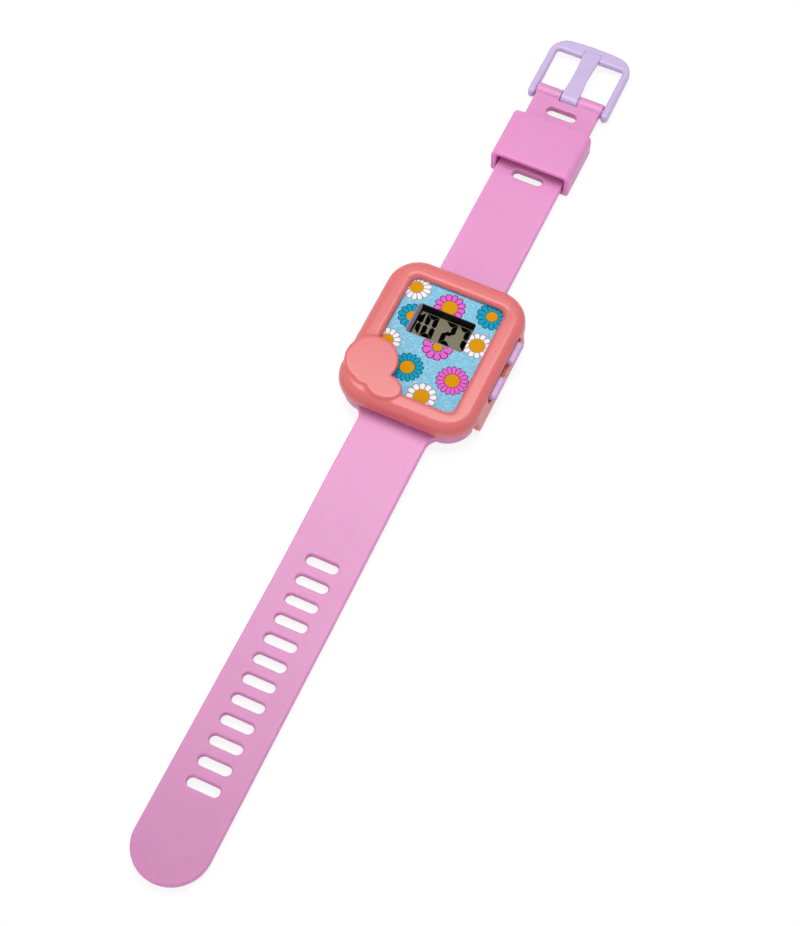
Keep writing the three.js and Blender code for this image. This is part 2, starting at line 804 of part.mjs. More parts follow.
// The tongue curls round the pin, runs over the strap and rests in the bar's seat
function buckleTongue() {
  const [pinY, pinZ] = pinAt;
  const tipUnder = frameTop - tongueThickness;
  const shape = new THREE.Shape();
  shape.moveTo(pinY, pinZ - tongueCurl);
  shape.absarc(pinY, pinZ, tongueCurl, -Math.PI / 2, 0);
  shape.lineTo(pinY + tongueCurl, tipUnder);
  shape.lineTo(tongueTip, tipUnder);
  shape.lineTo(tongueTip, frameTop - tongueTipBevel);
  shape.lineTo(tongueTip - tongueTipBevel, frameTop);
  shape.quadraticCurveTo((pinY + tongueTip) / 2, frameTop + tongueArch, pinY, pinZ + tongueCurl);
  shape.absarc(pinY, pinZ, tongueCurl, Math.PI / 2, 1.5 * Math.PI);
  const bore = alongX(circle(boreRadius, pinAt), -tongueWidth, tongueWidth, 0, pinFacets);
  return cut(alongX(shape, -tongueWidth / 2, tongueWidth / 2, 0, strapFacets), bore);
}

function bucklePin() {
  const reach = frameInnerHalf + pinSeat;
  return alongX(circle(pinRadius, pinAt), -reach, reach, pinRadius / 4, pinFacets);
}

// Keeper loop round the strap
function keeper() {
  const insideLow = strapLift - fitGap;
  const insideHigh = insideLow + keeperInnerHeight;
  const low = insideLow - keeperBottomWall;
  const high = insideHigh + keeperTopWall;
  const outerHalf = [keeperInnerHalf + keeperSide, (high - low) / 2];
  const outer = roundedRect(outerHalf, keeperCorner, [0, (high + low) / 2]);
  const hollowHalf = [keeperInnerHalf, keeperInnerHeight / 2];
  const inner = roundedRect(hollowHalf, keeperInnerCorner, [0, (insideLow + insideHigh) / 2]);
  const middle = pinAt[0] - keeperFromEnd;
  const start = middle - keeperLength / 2;
  const finish = middle + keeperLength / 2;
  return cut(
    alongY(outer, start, finish, keeperEdge, slotFacets),
    alongY(inner, start - overcut, finish + overcut, 0, smallFacets),
  );
}

// The assembly

addPart('strap_and_case', strapAndCase(), softPink);
addPart('cover', cover(), coral);
addPart('module_housing', moduleHousing(), darkPlastic);
addPart('face_card', faceCard(), printedCard);
addPart('display_panel', displayPanel(), displayGlass);
addPart('display_reflector', reflector(), silverFilm);
addPart('zebra_strip_upper', zebraStrip(1), conductiveRubber);
addPart('zebra_strip_lower', zebraStrip(-1), conductiveRubber);
addPart('circuit_board', circuitBoard(), boardGreen);
addPart('chip', chip(), epoxyBlack);
addPart('crystal', crystal(), steel);
addPart('battery', battery(), steel);
addPart('battery_clip', batteryClip(), steel);
addPart('battery_spring', batterySpring(), steel);
Object.entries(buttonRows).forEach(([row, y]) => {
  addPart(`contact_tab_${row}`, contactTab(y), steel);
  addPart(`button_${row}`, button(y), lilac);
  addPart(`contact_pill_${row}`, contactPill(y), conductiveRubber);
});
addPart('back_plate', backPlate(), softPink);
cornerPlaces().forEach((at, index) => addPart(`back_screw_${index + 1}`, backScrew(at), steel));
addPart('buckle_frame', buckleFrame(), lilac);
addPart('buckle_tongue', buckleTongue(), lilac);
addPart('buckle_pin', bucklePin(), steel);
addPart('keeper', keeper(), softPink);

export default parts;
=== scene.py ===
# %% [markdown]
# # A toy watch
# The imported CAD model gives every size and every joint. This lesson dresses it: soft strap, glossy
# cover, printed face, liquid-crystal display and pin buckle are modelled with Blender's own operators
# and painted with node materials. Everything is in metres and in the frame of the CAD model:
# +Z is up, +Y runs along the strap towards the buckle and +X points to the side buttons.

import math

import bmesh
import bpy
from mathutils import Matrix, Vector


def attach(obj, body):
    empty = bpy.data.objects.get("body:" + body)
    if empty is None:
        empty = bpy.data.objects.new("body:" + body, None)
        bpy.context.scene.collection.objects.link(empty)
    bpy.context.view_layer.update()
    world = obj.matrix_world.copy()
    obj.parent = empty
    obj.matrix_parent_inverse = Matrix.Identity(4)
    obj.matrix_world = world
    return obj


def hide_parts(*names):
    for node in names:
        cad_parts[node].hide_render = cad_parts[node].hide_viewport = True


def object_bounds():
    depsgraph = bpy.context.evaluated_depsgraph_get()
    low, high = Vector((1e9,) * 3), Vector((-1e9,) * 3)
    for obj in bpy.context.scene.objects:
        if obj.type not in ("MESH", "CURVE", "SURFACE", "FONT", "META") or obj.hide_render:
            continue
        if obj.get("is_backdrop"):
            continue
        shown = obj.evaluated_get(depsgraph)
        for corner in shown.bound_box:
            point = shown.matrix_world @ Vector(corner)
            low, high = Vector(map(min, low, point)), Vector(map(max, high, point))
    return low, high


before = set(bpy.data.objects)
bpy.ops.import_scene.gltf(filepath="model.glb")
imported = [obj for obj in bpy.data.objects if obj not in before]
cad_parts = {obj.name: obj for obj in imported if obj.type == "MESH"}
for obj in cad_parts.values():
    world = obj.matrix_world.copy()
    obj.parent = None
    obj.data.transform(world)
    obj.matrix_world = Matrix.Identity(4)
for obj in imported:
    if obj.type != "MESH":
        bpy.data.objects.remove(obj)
for name in ("Cube", "Light", "Camera"):
    if name in bpy.data.objects:
        bpy.data.objects.remove(bpy.data.objects[name])
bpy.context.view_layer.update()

# %% [markdown]
# ## Small helpers
# Operators act on whatever is selected, so each step first says which piece it works on. Sizes below
# are written in millimetres, as on a drawing of such a watch, and MM turns them into metres. Two
# places that lie closer together than TOUCH count as the same, and X, Y and Z number the axes.

# %% Selecting
MM = 0.001
TOUCH = 0.01
X, Y, Z = 0, 1, 2


def take(piece):
    """Make one piece the selected and active one, in object mode."""
    if bpy.context.object and bpy.context.object.mode != "OBJECT":
        bpy.ops.object.mode_set(mode="OBJECT")
    bpy.ops.object.select_all(action="DESELECT")
    piece.select_set(True)
    bpy.context.view_layer.objects.active = piece


def edit(piece):
    """Open one piece in edit mode with nothing selected in it."""
    take(piece)
    bpy.ops.object.mode_set(mode="EDIT")
    bpy.ops.mesh.select_all(action="DESELECT")


def choose(piece, kind, test):
    """In edit mode, select the verts, edges or faces whose middle, in millimetres, passes a test."""
    bpy.ops.mesh.select_mode(type={"verts": "VERT", "edges": "EDGE", "faces": "FACE"}[kind])
    bpy.ops.mesh.select_all(action="DESELECT")
    shape = bmesh.from_edit_mesh(piece.data)
    shape.normal_update()
    chosen = []
    for item in getattr(shape, kind):
        points = [item.co] if kind == "verts" else [vert.co for vert in item.verts]
        middle = sum(points, Vector()) / len(points) / MM
        if test(middle, item):
            chosen.append(item)
    for item in chosen:
        item.select_set(True)
    bmesh.update_edit_mesh(piece.data)
    return len(chosen)


print("one millimetre is", MM, "metres")

# %% [markdown]
# Every piece starts as one of Blender's primitives: a cube stretched to a box, a cylinder for a rod, or
# a plane whose corners are bevelled to a rounded plate. Place and scale are applied at once, so that
# each mesh holds its true sizes and each finished object stays at the origin.

# %% Starting shapes
def start_piece(name):
    """Name the primitive that was just added and apply its place and scale to its mesh."""
    piece = bpy.context.object
    piece.name = name
    piece.data.name = name
    bpy.ops.object.transform_apply(location=True, rotation=True, scale=True)
    return piece


def add_box(name, low, high):
    """A cube primitive stretched between two corners, in millimetres."""
    bpy.ops.object.select_all(action="DESELECT")
    middle = [(a + b) / 2 * MM for a, b in zip(low, high)]
    bpy.ops.mesh.primitive_cube_add(size=MM, location=middle)
    bpy.context.object.scale = [b - a for a, b in zip(low, high)]
    return start_piece(name)


def add_rod(name, radius, low, high, axis=Z, around=(0, 0), sides=48):
    """A cylinder primitive along an axis; around is its place across that axis, in X, Y, Z order."""
    bpy.ops.object.select_all(action="DESELECT")
    place = list(around)
    place.insert(axis, (low + high) / 2)
    quarter = math.pi / 2
    bpy.ops.mesh.primitive_cylinder_add(
        vertices=sides,
        radius=radius * MM,
        depth=(high - low) * MM,
        location=[value * MM for value in place],
        rotation=((0, quarter, 0), (quarter, 0, 0), (0, 0, 0))[axis],
    )
    return start_piece(name)


def add_plane(name, half, place, turn=(0, 0, 0)):
    """A plane primitive with given half sizes about its middle, turned by three angles."""
    bpy.ops.object.select_all(action="DESELECT")
    bpy.ops.mesh.primitive_plane_add(size=2 * MM, location=[v * MM for v in place], rotation=turn)
    bpy.context.object.scale = (*half, 1)
    return start_piece(name)


def add_plate(name, half, corner, z, segments=20, middle=(0, 0)):
    """A flat rounded rectangle: a plane whose four corner points are bevelled."""
    plate = add_plane(name, half, (*middle, z))
    edit(plate)
    bpy.ops.mesh.select_all(action="SELECT")
    bpy.ops.mesh.bevel(offset=corner * MM, segments=segments, affect="VERTICES")
    bpy.ops.object.mode_set(mode="OBJECT")
    return plate


print("box, rod, plane and plate can be added")

# %% [markdown]
# A plate becomes a block when its face is extruded. Insetting the new top face in small steps, each a
# little higher and a little smaller, rolls the rim over like the edge of a moulding. Edges that should
# only be softened are chosen by a test and bevelled.

# %% Growing a plate into a block
def raise_plate(plate, height):
    """Extrude the plate's face upwards and leave the new top face selected, still in edit mode."""
    edit(plate)
    bpy.ops.mesh.select_mode(type="FACE")
    bpy.ops.mesh.select_all(action="SELECT")
    bpy.ops.mesh.extrude_region_move(TRANSFORM_OT_translate={"value": (0, 0, height * MM)})


def roll_edge(radius, end=90, steps=14):
    """Inset the selected top face step by step along an arc, so its rim rolls over."""
    for step in range(steps):
        a = math.radians(end * step / steps)
        b = math.radians(end * (step + 1) / steps)
        bpy.ops.mesh.inset(
            thickness=radius * (math.cos(a) - math.cos(b)) * MM,
            depth=radius * (math.sin(b) - math.sin(a)) * MM,
        )


def close_block(piece):
    """Leave edit mode with every face pointing outwards."""
    bpy.ops.mesh.select_all(action="SELECT")
    bpy.ops.mesh.normals_make_consistent(inside=False)
    bpy.ops.object.mode_set(mode="OBJECT")
    return piece


def soften(piece, width, segments, test):
    """Bevel the edges that pass a test, such as the rim of a plate."""
    edit(piece)
    count = choose(piece, "edges", test)
    bpy.ops.mesh.bevel(offset=width * MM, segments=segments, affect="EDGES")
    bpy.ops.object.mode_set(mode="OBJECT")
    return count


def runs_along(edge, axis):
    """True for an edge that is longer than a millimetre along one axis."""
    return abs(edge.verts[0].co[axis] - edge.verts[1].co[axis]) > MM


print("plates can be raised, rolled and softened")

# %% [markdown]
# Holes are cut with Boolean modifiers, which are applied at once so that the next step finds a plain
# mesh. A finished piece rides on its CAD body and stands for the CAD nodes that it replaces.

# %% Cutting, joining and finishing
def combine(piece, tool, operation):
    """Boolean a tool piece into a piece and take the tool away."""
    take(piece)
    step = piece.modifiers.new(operation.lower(), "BOOLEAN")
    step.object = tool
    step.operation = operation
    step.solver = "EXACT"
    bpy.ops.object.modifier_apply(modifier=step.name)
    bpy.data.objects.remove(tool)


def cut(piece, *tools):
    """Take every tool away from a piece."""
    for tool in tools:
        combine(piece, tool, "DIFFERENCE")


def join(piece, *tools):
    """Fuse every tool into a piece."""
    for tool in tools:
        combine(piece, tool, "UNION")


def settle(piece, body, slot, *nodes, angle=35):
    """Shade a finished piece, let it ride on its CAD body and stand for its CAD nodes."""
    take(piece)
    if angle:
        bpy.ops.object.shade_smooth_by_angle(angle=math.radians(angle))
    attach(piece, body)
    if nodes:
        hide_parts(*nodes)
    triangles = sum(len(face.vertices) - 2 for face in piece.data.polygons)
    print(piece.name, triangles, "triangles")


print("pieces can be cut, joined and settled")

# %% [markdown]
# ## The cover
# The cover is a glossy moulded frame that clips over the case. Its upper edge rolls over in a quarter
# circle, and its long walls lean out a little towards their foot. A rounded plate is raised and its top
# face inset along that quarter circle, once for the outside and once, smaller, for the hollow. Two
# simple blocks are easier to keep even than one wall that is followed inside and out.

# %% Cover: block and hollow
COVER_HALF = (16.1, 19.0)
COVER_CORNER = 7.3
COVER_WALL = 1.2
SKIRT_BOTTOM = 0.9
SKIRT_LEAN, LEAN_FADE = 0.6, 2.6
ROLL_RADIUS = 2.4
ROLL_START = 6.3
CUT_LOW, CUT_HIGH = -1, 6


def rolled_block(name, half, corner, low, radius, start, end=90):
    """A rounded block whose upper rim rolls over along an arc."""
    block = add_plate(name, half, corner, low)
    raise_plate(block, start - low)
    roll_edge(radius, end)
    return close_block(block)


def lean_out(block, half):
    """Let the long walls of a block lean outwards below the roll, fading out round its corners."""
    for vert in block.data.vertices:
        drop = max(ROLL_START - vert.co.z / MM, 0) / (ROLL_START - SKIRT_BOTTOM)
        share = max(1 - (half - abs(vert.co.x / MM)) / LEAN_FADE, 0) ** 2
        vert.co.x += math.copysign(SKIRT_LEAN * drop * share * MM, vert.co.x)


cover = rolled_block("watch_cover", COVER_HALF, COVER_CORNER, SKIRT_BOTTOM, ROLL_RADIUS, ROLL_START)
lean_out(cover, COVER_HALF[X])
inner_half = [half - COVER_WALL for half in COVER_HALF]
inner_corner, inner_roll = COVER_CORNER - COVER_WALL, ROLL_RADIUS - COVER_WALL
hollow = rolled_block("hollow", inner_half, inner_corner, CUT_LOW, inner_roll, ROLL_START)
lean_out(hollow, inner_half[X])
print("cover block", len(cover.data.polygons), "faces, hollow", len(hollow.data.polygons))

# %% [markdown]
# From the crest a short slope falls to the window. The window's cutter is a plate that is raised and
# then widened in a few steps, so that it leaves the slope behind. Each step has a rise and a run. A
# bevel along the window would be quicker, but it would give an even arc instead of this slope.

# %% Cover: window
WINDOW_HALF = (10.85, 14.05)
WINDOW_CORNER = 1.7
WINDOW_LOW, LIP_LOW = 6, 7.5
LIP_STEPS = ((0.8, 0.36), (0.25, 0.24), (0.17, 0.4), (0.1, 0.9))

window = add_plate("window", WINDOW_HALF, WINDOW_CORNER, WINDOW_LOW)
raise_plate(window, LIP_LOW - WINDOW_LOW)
for rise, run in LIP_STEPS:
    bpy.ops.mesh.extrude_region_move(TRANSFORM_OT_translate={"value": (0, 0, rise * MM)})
    bpy.ops.transform.resize(value=(1 + run / WINDOW_HALF[X], 1 + run / WINDOW_HALF[Y], 1))
close_block(window)
cut(cover, hollow, window)
print("cover shell", len(cover.data.polygons), "faces")

# %% [markdown]
# The long sides of the cover reach down as skirts, and the ends stop higher to let the strap out. A
# box cutter takes each end away, and a small corner piece, a box with a rod cut out of it, rounds the
# skirt's lower corner. A capsule cutter opens the button side. Plain boxes and rods are enough here,
# because every one of these cuts is straight or round.

# %% Cover: skirts and button opening
SKIRT_END = 12.4
SKIRT_ROUND = 1.3
END_WALL_BOTTOM = 4.65
CUT_WIDE, OVERLAP = 20, 0.05
OPENING_LOW, OPENING_HIGH = (13.2, -6.85, 3.97), (18, 10.65, 6.53)
OPENING_ROUND = 1.26

for side in (1, -1):
    near, far = sorted((SKIRT_END * side, CUT_WIDE * side))
    cut(cover, add_box("end_room", (-CUT_WIDE, near, CUT_LOW), (CUT_WIDE, far, END_WALL_BOTTOM)))
    inner, top = (SKIRT_END - SKIRT_ROUND) * side, SKIRT_BOTTOM + SKIRT_ROUND
    near, far = sorted((inner, (SKIRT_END + OVERLAP) * side))
    corner = add_box("skirt_corner", (-CUT_WIDE, near, CUT_LOW), (CUT_WIDE, far, top))
    cut(corner, add_rod("round", SKIRT_ROUND, -CUT_WIDE - 1, CUT_WIDE + 1, X, (inner, top)))
    cut(cover, corner)

opening = add_box("button_opening", OPENING_LOW, OPENING_HIGH)
soften(opening, OPENING_ROUND, 8, lambda at, edge: runs_along(edge, X))
cut(cover, opening)
print("cover with skirts", len(cover.data.polygons), "faces")

# %% [markdown]
# A raised applique, a plain shape of three lobes, lies over one corner of the cover. Each lobe is a flat
# disc with a soft rim. A moulded cover has no sharp edge anywhere, so the joined shell is remeshed to
# one even skin and smoothed, which rounds every edge and seam in a single step.

# %% Cover: applique and skin
LOBES = (((-10.1, -9.55), 5.85, 1.0), ((-9.5, -12.4), 3.55, 1.0), ((-4.9, -14.5), 4.05, 0.75))
LOBE_LOW, LOBE_TOP = 8.0, 9.2
LOBE_RIM = 0.3
SKIN_VOXEL, SKIN_SMOOTHING = 0.21, 8

for at, radius, squash in LOBES:
    lobe = add_rod("lobe", radius, LOBE_LOW, LOBE_TOP, around=at, sides=72)
    soften(lobe, LOBE_RIM, 4, lambda middle, edge: middle.z > LOBE_TOP - TOUCH)
    edit(lobe)
    bpy.ops.mesh.select_all(action="SELECT")
    bpy.ops.transform.resize(value=(1, squash, 1), center_override=(at[0] * MM, at[1] * MM, 0))
    bpy.ops.object.mode_set(mode="OBJECT")
    join(cover, lobe)

take(cover)
skin = cover.modifiers.new("skin", "REMESH")
skin.mode = "VOXEL"
skin.voxel_size = SKIN_VOXEL * MM
bpy.ops.object.modifier_apply(modifier=skin.name)
ease = cover.modifiers.new("ease", "SMOOTH")
ease.factor = 0.5
ease.iterations = SKIN_SMOOTHING
bpy.ops.object.modifier_apply(modifier=ease.name)
bpy.ops.object.shade_smooth()
settle(cover, "cover", "coral", "cover", angle=None)

# %% [markdown]
# ## The strap and the case
# Strap and case are one soft moulding. The strap starts as a plane: its tail end is widened a little,
# its two end points are bevelled into a full round, and the plane is extruded to the strap's
# thickness. Flares and slots are cut while the walls are still straight, so that one bevel can then
# soften every rim at once.

# %% Strap: outline and flares
STRAP_HALF, TAIL_HALF = 8.0, 8.3
STRAP_LOW, STRAP_HIGH = 1.4, 3.4
TAIL_TIP, FIRST_SLOT = -129.0, -54.8
TAIL_ROUND = TAIL_HALF - 0.02
PIN_Y, PIN_Z = 77.0, 2.4
FLARE_RADIUS, FLARE_HALF = 3.5, 10.5
FLARE_AT = (11.5, 21.22)
FLARE_CUT = (0, 5)

strap_half = (STRAP_HALF, (PIN_Y - TAIL_TIP) / 2)
strap = add_plane("soft_strap", strap_half, (0, (TAIL_TIP + PIN_Y) / 2, STRAP_LOW))
edit(strap)
bpy.ops.mesh.select_all(action="SELECT")
bpy.ops.mesh.bisect(plane_co=(0, FIRST_SLOT * MM, 0), plane_no=(0, 1, 0))
choose(strap, "verts", lambda at, _: at.y < TAIL_TIP + 1)
bpy.ops.transform.resize(value=(TAIL_HALF / STRAP_HALF, 1, 1))
bpy.ops.mesh.bevel(offset=TAIL_ROUND * MM, segments=28, affect="VERTICES")
raise_plate(strap, STRAP_HIGH - STRAP_LOW)
close_block(strap)
flare_low = (-FLARE_HALF, -FLARE_AT[Y], STRAP_LOW)
join(strap, add_box("flare_plate", flare_low, (FLARE_HALF, FLARE_AT[Y], STRAP_HIGH)))
for x in (FLARE_AT[X], -FLARE_AT[X]):
    for y in (FLARE_AT[Y], -FLARE_AT[Y]):
        cut(strap, add_rod("flare", FLARE_RADIUS, *FLARE_CUT, around=(x, y), sides=72))
print("strap outline", len(strap.data.vertices), "points")

# %% [markdown]
# The slots repeat at an even pitch, so one capsule cutter is made and an Array modifier lays out the
# rest before a single boolean punches them all. Two more slots sit near the buckle.

# %% Strap: slots
SLOT_LENGTH, SLOT_WIDTH = 7.3, 2.4
SLOT_ROUND = SLOT_WIDTH / 2 - 0.01
SLOT_PITCH, SLOT_COUNT = 4.82, 12
BUCKLE_SLOTS = (71.8, 52.0)


def slot_cutter(y):
    """A capsule that stands upright through the strap."""
    low = (-SLOT_LENGTH / 2, y - SLOT_WIDTH / 2, CUT_LOW)
    cutter = add_box("slot", low, (SLOT_LENGTH / 2, y + SLOT_WIDTH / 2, CUT_HIGH))
    soften(cutter, SLOT_ROUND, 9, lambda at, edge: runs_along(edge, Z))
    return cutter


row = slot_cutter(FIRST_SLOT)
take(row)
repeat = row.modifiers.new("row", "ARRAY")
repeat.count = SLOT_COUNT
repeat.use_relative_offset = False
repeat.use_constant_offset = True
repeat.constant_offset_displace = (0, -SLOT_PITCH * MM, 0)
bpy.ops.object.modifier_apply(modifier=repeat.name)
cut(strap, row, *[slot_cutter(y) for y in BUCKLE_SLOTS])
print("strap with", SLOT_COUNT + len(BUCKLE_SLOTS), "slots")

# %% [markdown]
# A soft moulding has no sharp rims. Every edge between a level face and an upright one is bevelled at
# once. A cut can leave points almost on top of each other, which would tear the bevel, so they are
# welded first.

# %% Strap: soft rims
STRAP_RIM = 0.42
FLAT, STEEP = 0.8, 0.2
WELD, FINE_WELD = 0.01, 0.005


def between(edge, axis):
    """True for an edge between a face that looks along an axis and one that runs along it."""
    tilt = sorted(abs(face.normal[axis]) for face in edge.link_faces)
    return len(tilt) == 2 and tilt[0] < STEEP and tilt[1] > FLAT


def on_rim(_, edge):
    """The test for the upper and lower rims of a flat piece."""
    return between(edge, Z)


def weld(piece, distance):
    """Merge points that a cut left almost on top of each other."""
    edit(piece)
    bpy.ops.mesh.select_all(action="SELECT")
    bpy.ops.mesh.remove_doubles(threshold=distance * MM)
    bpy.ops.object.mode_set(mode="OBJECT")


weld(strap, WELD)
count = soften(strap, STRAP_RIM, 4, on_rim)
print(count, "rim edges softened")

# %% [markdown]
# At the buckle the strap ends in a round bead that holds the pin, with a notch for the tongue. The bead
# is a rod with soft ends that is fused to the strap. The notch and the pin's bore are cut after it, so
# that they go through strap and bead at once.

# %% Strap: end bead
BEAD_HALF, BEAD_RADIUS, BEAD_RIM = 8.2, 1.7, 0.3
BORE_HALF, BORE_RADIUS = 9, 0.68
NOTCH_HALF, NOTCH_Y = 2.22, (75.15, 82)

bead = add_rod("bead", BEAD_RADIUS, -BEAD_HALF, BEAD_HALF, X, (PIN_Y, PIN_Z), sides=40)
soften(bead, BEAD_RIM, 4, lambda at, edge: abs(abs(at.x) - BEAD_HALF) < TOUCH)
join(strap, bead)
notch = add_box("notch", (-NOTCH_HALF, NOTCH_Y[0], CUT_LOW), (NOTCH_HALF, NOTCH_Y[1], CUT_HIGH))
cut(strap, notch, add_rod("bore", BORE_RADIUS, -BORE_HALF, BORE_HALF, X, (PIN_Y, PIN_Z), sides=24))
weld(strap, FINE_WELD)
print("strap with bead", len(strap.data.polygons), "faces")

# %% [markdown]
# The case is a low block with a rolled wall on top, and the strap runs through it. The base is made
# first and gets room for the cover's skirts, then wall and strap are fused to it. Fusing whole blocks
# keeps the seams clean.

# %% Case: base and wall
CASE_HALF, CASE_CORNER = (14.6, 17.5), 5.8
BASE_HALF, BASE_CORNER = (15.2, 18.1), 6.4
BASE_LOW, BASE_HIGH = 0.3, 4.35
LOWER_RIM, UPPER_RIM = 0.9, 0.5
WALL_LOW, WALL_ROLL_START, WALL_ROLL, WALL_ROLL_END = 0.5, 4.7, 2.5, 59.3
SKIRT_ROOM_HALF = 12.7
SKIRT_ROOM_X = CASE_HALF[X] - 0.1

case = add_plate("soft_case", BASE_HALF, BASE_CORNER, BASE_LOW)
raise_plate(case, BASE_HIGH - BASE_LOW)
close_block(case)
soften(case, LOWER_RIM, 6, lambda at, edge: at.z < BASE_LOW + TOUCH)
soften(case, UPPER_RIM, 4, lambda at, edge: at.z > BASE_HIGH - TOUCH)
for side in (1, -1):
    near, far = sorted((SKIRT_ROOM_X * side, CUT_WIDE * side))
    room_low, room_high = (near, -SKIRT_ROOM_HALF, CUT_LOW), (far, SKIRT_ROOM_HALF, CUT_HIGH)
    cut(case, add_box("skirt_room", room_low, room_high))
wall = rolled_block("case_wall", CASE_HALF, CASE_CORNER, WALL_LOW, WALL_ROLL, WALL_ROLL_START, WALL_ROLL_END)
join(case, wall, strap)
print("case and strap", len(case.data.polygons), "faces")

# %% [markdown]
# Inside, the case is stepped: a pocket for the display module from above, a flange that it rests on and
# a room for the back plate from below. Rounded plates cut all three, and capsules cut the button holes.

# %% Case: pocket and button holes
POCKETS = (
    ("pocket", (13.25, 16.15), 4.45, 2.15, 8),
    ("flange", (11.65, 14.55), 2.85, CUT_LOW, 6),
    ("back_room", (12.75, 15.65), 3.95, CUT_LOW, 2.35),
)
BUTTON_AT = {"upper": 6.75, "lower": -2.95}
HOLE_X, HOLE_Z = (12, 17), (4.15, 6.35)
HOLE_HALF, HOLE_ROUND = 3.3, 1.08

for name, half, corner, low, height in POCKETS:
    tool = add_plate(name, half, corner, low, segments=10)
    raise_plate(tool, height)
    cut(case, close_block(tool))
for y in BUTTON_AT.values():
    hole_low, hole_high = (HOLE_X[0], y - HOLE_HALF, HOLE_Z[0]), (HOLE_X[1], y + HOLE_HALF, HOLE_Z[1])
    hole = add_box("button_hole", hole_low, hole_high)
    soften(hole, HOLE_ROUND, 8, lambda at, edge: runs_along(edge, X))
    cut(case, hole)
print("case hollowed", len(case.data.polygons), "faces")

# %% [markdown]
# Lying on a table, the long tail sags a little below the case and thins towards its tip. Cuts across
# the strap give it points to bend at, and a half cosine lowers them. This comes last, because booleans
# like flat faces best. Large faces then decide the shading, so that narrow bevels do not bend it.

# %% Sag of the tail
SAG, SAG_START, SAG_RUN = 1.1, -25.75, 40.0
SAG_CUTS, CUT_STEP = 21, 2
TAIL_THINNER = 0.25

edit(case)
for step in range(SAG_CUTS):
    bpy.ops.mesh.select_all(action="SELECT")
    bpy.ops.mesh.bisect(plane_co=(0, (SAG_START - CUT_STEP * step) * MM, 0), plane_no=(0, 1, 0))
bpy.ops.object.mode_set(mode="OBJECT")
for vert in case.data.vertices:
    run = min(max((SAG_START - vert.co.y / MM) / SAG_RUN, 0), 1)
    share = (1 - math.cos(math.pi * run)) / 2
    vert.co.z -= share * (SAG * MM + TAIL_THINNER * (vert.co.z - STRAP_LOW * MM))


def even_shading(piece):
    """Shade a piece smoothly and let its large flat faces decide the normals."""
    take(piece)
    bpy.ops.object.shade_smooth_by_angle(angle=math.radians(40))
    weigh = piece.modifiers.new("weigh", "WEIGHTED_NORMAL")
    weigh.keep_sharp = True
    weigh.weight = 100
    bpy.ops.object.modifier_apply(modifier=weigh.name)


case.name = case.data.name = "strap_and_case_skin"
even_shading(case)
settle(case, "case", "soft_pink", "strap_and_case", angle=None)

# %% [markdown]
# ## The keeper
# The keeper is a loop that slides on the strap and holds its tail. One box with rounded long edges
# is the outside, a smaller one cuts the tunnel, and a relief opens the floor near a strap slot. A bevel
# softens the rims at both ends. A ring with a thickness would have the same radius inside and out at
# every corner, and two boxes leave each its own.

# %% Keeper
KEEPER_HALF, KEEPER_Y = 9.65, (52.9, 66.2)
KEEPER_LOW, KEEPER_HIGH = 0.2, 7.0
TUNNEL_HALF, TUNNEL_Y = 8.35, (50, 70)
TUNNEL_LOW, TUNNEL_HIGH = 1.1, 5.9
KEEPER_ROUNDS, TUNNEL_ROUNDS = (1.6, 0.9), (0.6, 0.3)
RELIEF_LOW, RELIEF_HIGH = (-7.6, 51, CUT_LOW), (7.6, 54.4, 1.5)
KEEPER_RIM = 0.28


def rounded_bar(name, half, ends, low, high, round_top, round_bottom):
    """A box along the strap with one radius for its upper long edges and one for its lower ones."""
    bar = add_box(name, (-half, ends[0], low), (half, ends[1], high))
    middle = (low + high) / 2
    soften(bar, round_top, 8, lambda at, edge: runs_along(edge, Y) and at.z > middle)
    soften(bar, round_bottom, 5, lambda at, edge: runs_along(edge, Y) and at.z < middle)
    return bar


keeper = rounded_bar("keeper_loop", KEEPER_HALF, KEEPER_Y, KEEPER_LOW, KEEPER_HIGH, *KEEPER_ROUNDS)
cut(keeper, rounded_bar("tunnel", TUNNEL_HALF, TUNNEL_Y, TUNNEL_LOW, TUNNEL_HIGH, *TUNNEL_ROUNDS))
cut(keeper, add_box("floor_relief", RELIEF_LOW, RELIEF_HIGH))
weld(keeper, WELD)
count = soften(keeper, KEEPER_RIM, 4, lambda at, edge: between(edge, Y))
print(count, "keeper rim edges")
even_shading(keeper)
settle(keeper, "keeper", "soft_pink", "keeper", angle=None)

# %% [markdown]
# ## The buckle
# The buckle frame is a flat U with a gently arched bar, and it grows thinner towards the bar. A plane
# is given a finely divided top edge, which is lifted along a parabola, and its two upper points are
# bevelled round. After extruding, the points of the underside are raised evenly towards the bar. A
# curve with a round profile could draw the U too, but its arms and bar would all be equally thick.

# %% Buckle frame: outline
BAR_INNER, BAR_OUTER = 89.5, 92.3
BAR_ARCH, BAR_CORNER = 0.8, 4
FRAME_LOW, FRAME_HIGH, FRAME_RISE = 1.1, 3.7, 0.9
FRAME_HALF, ARM_END = 10.05, 74.9
FRAME_MIDDLE = 80

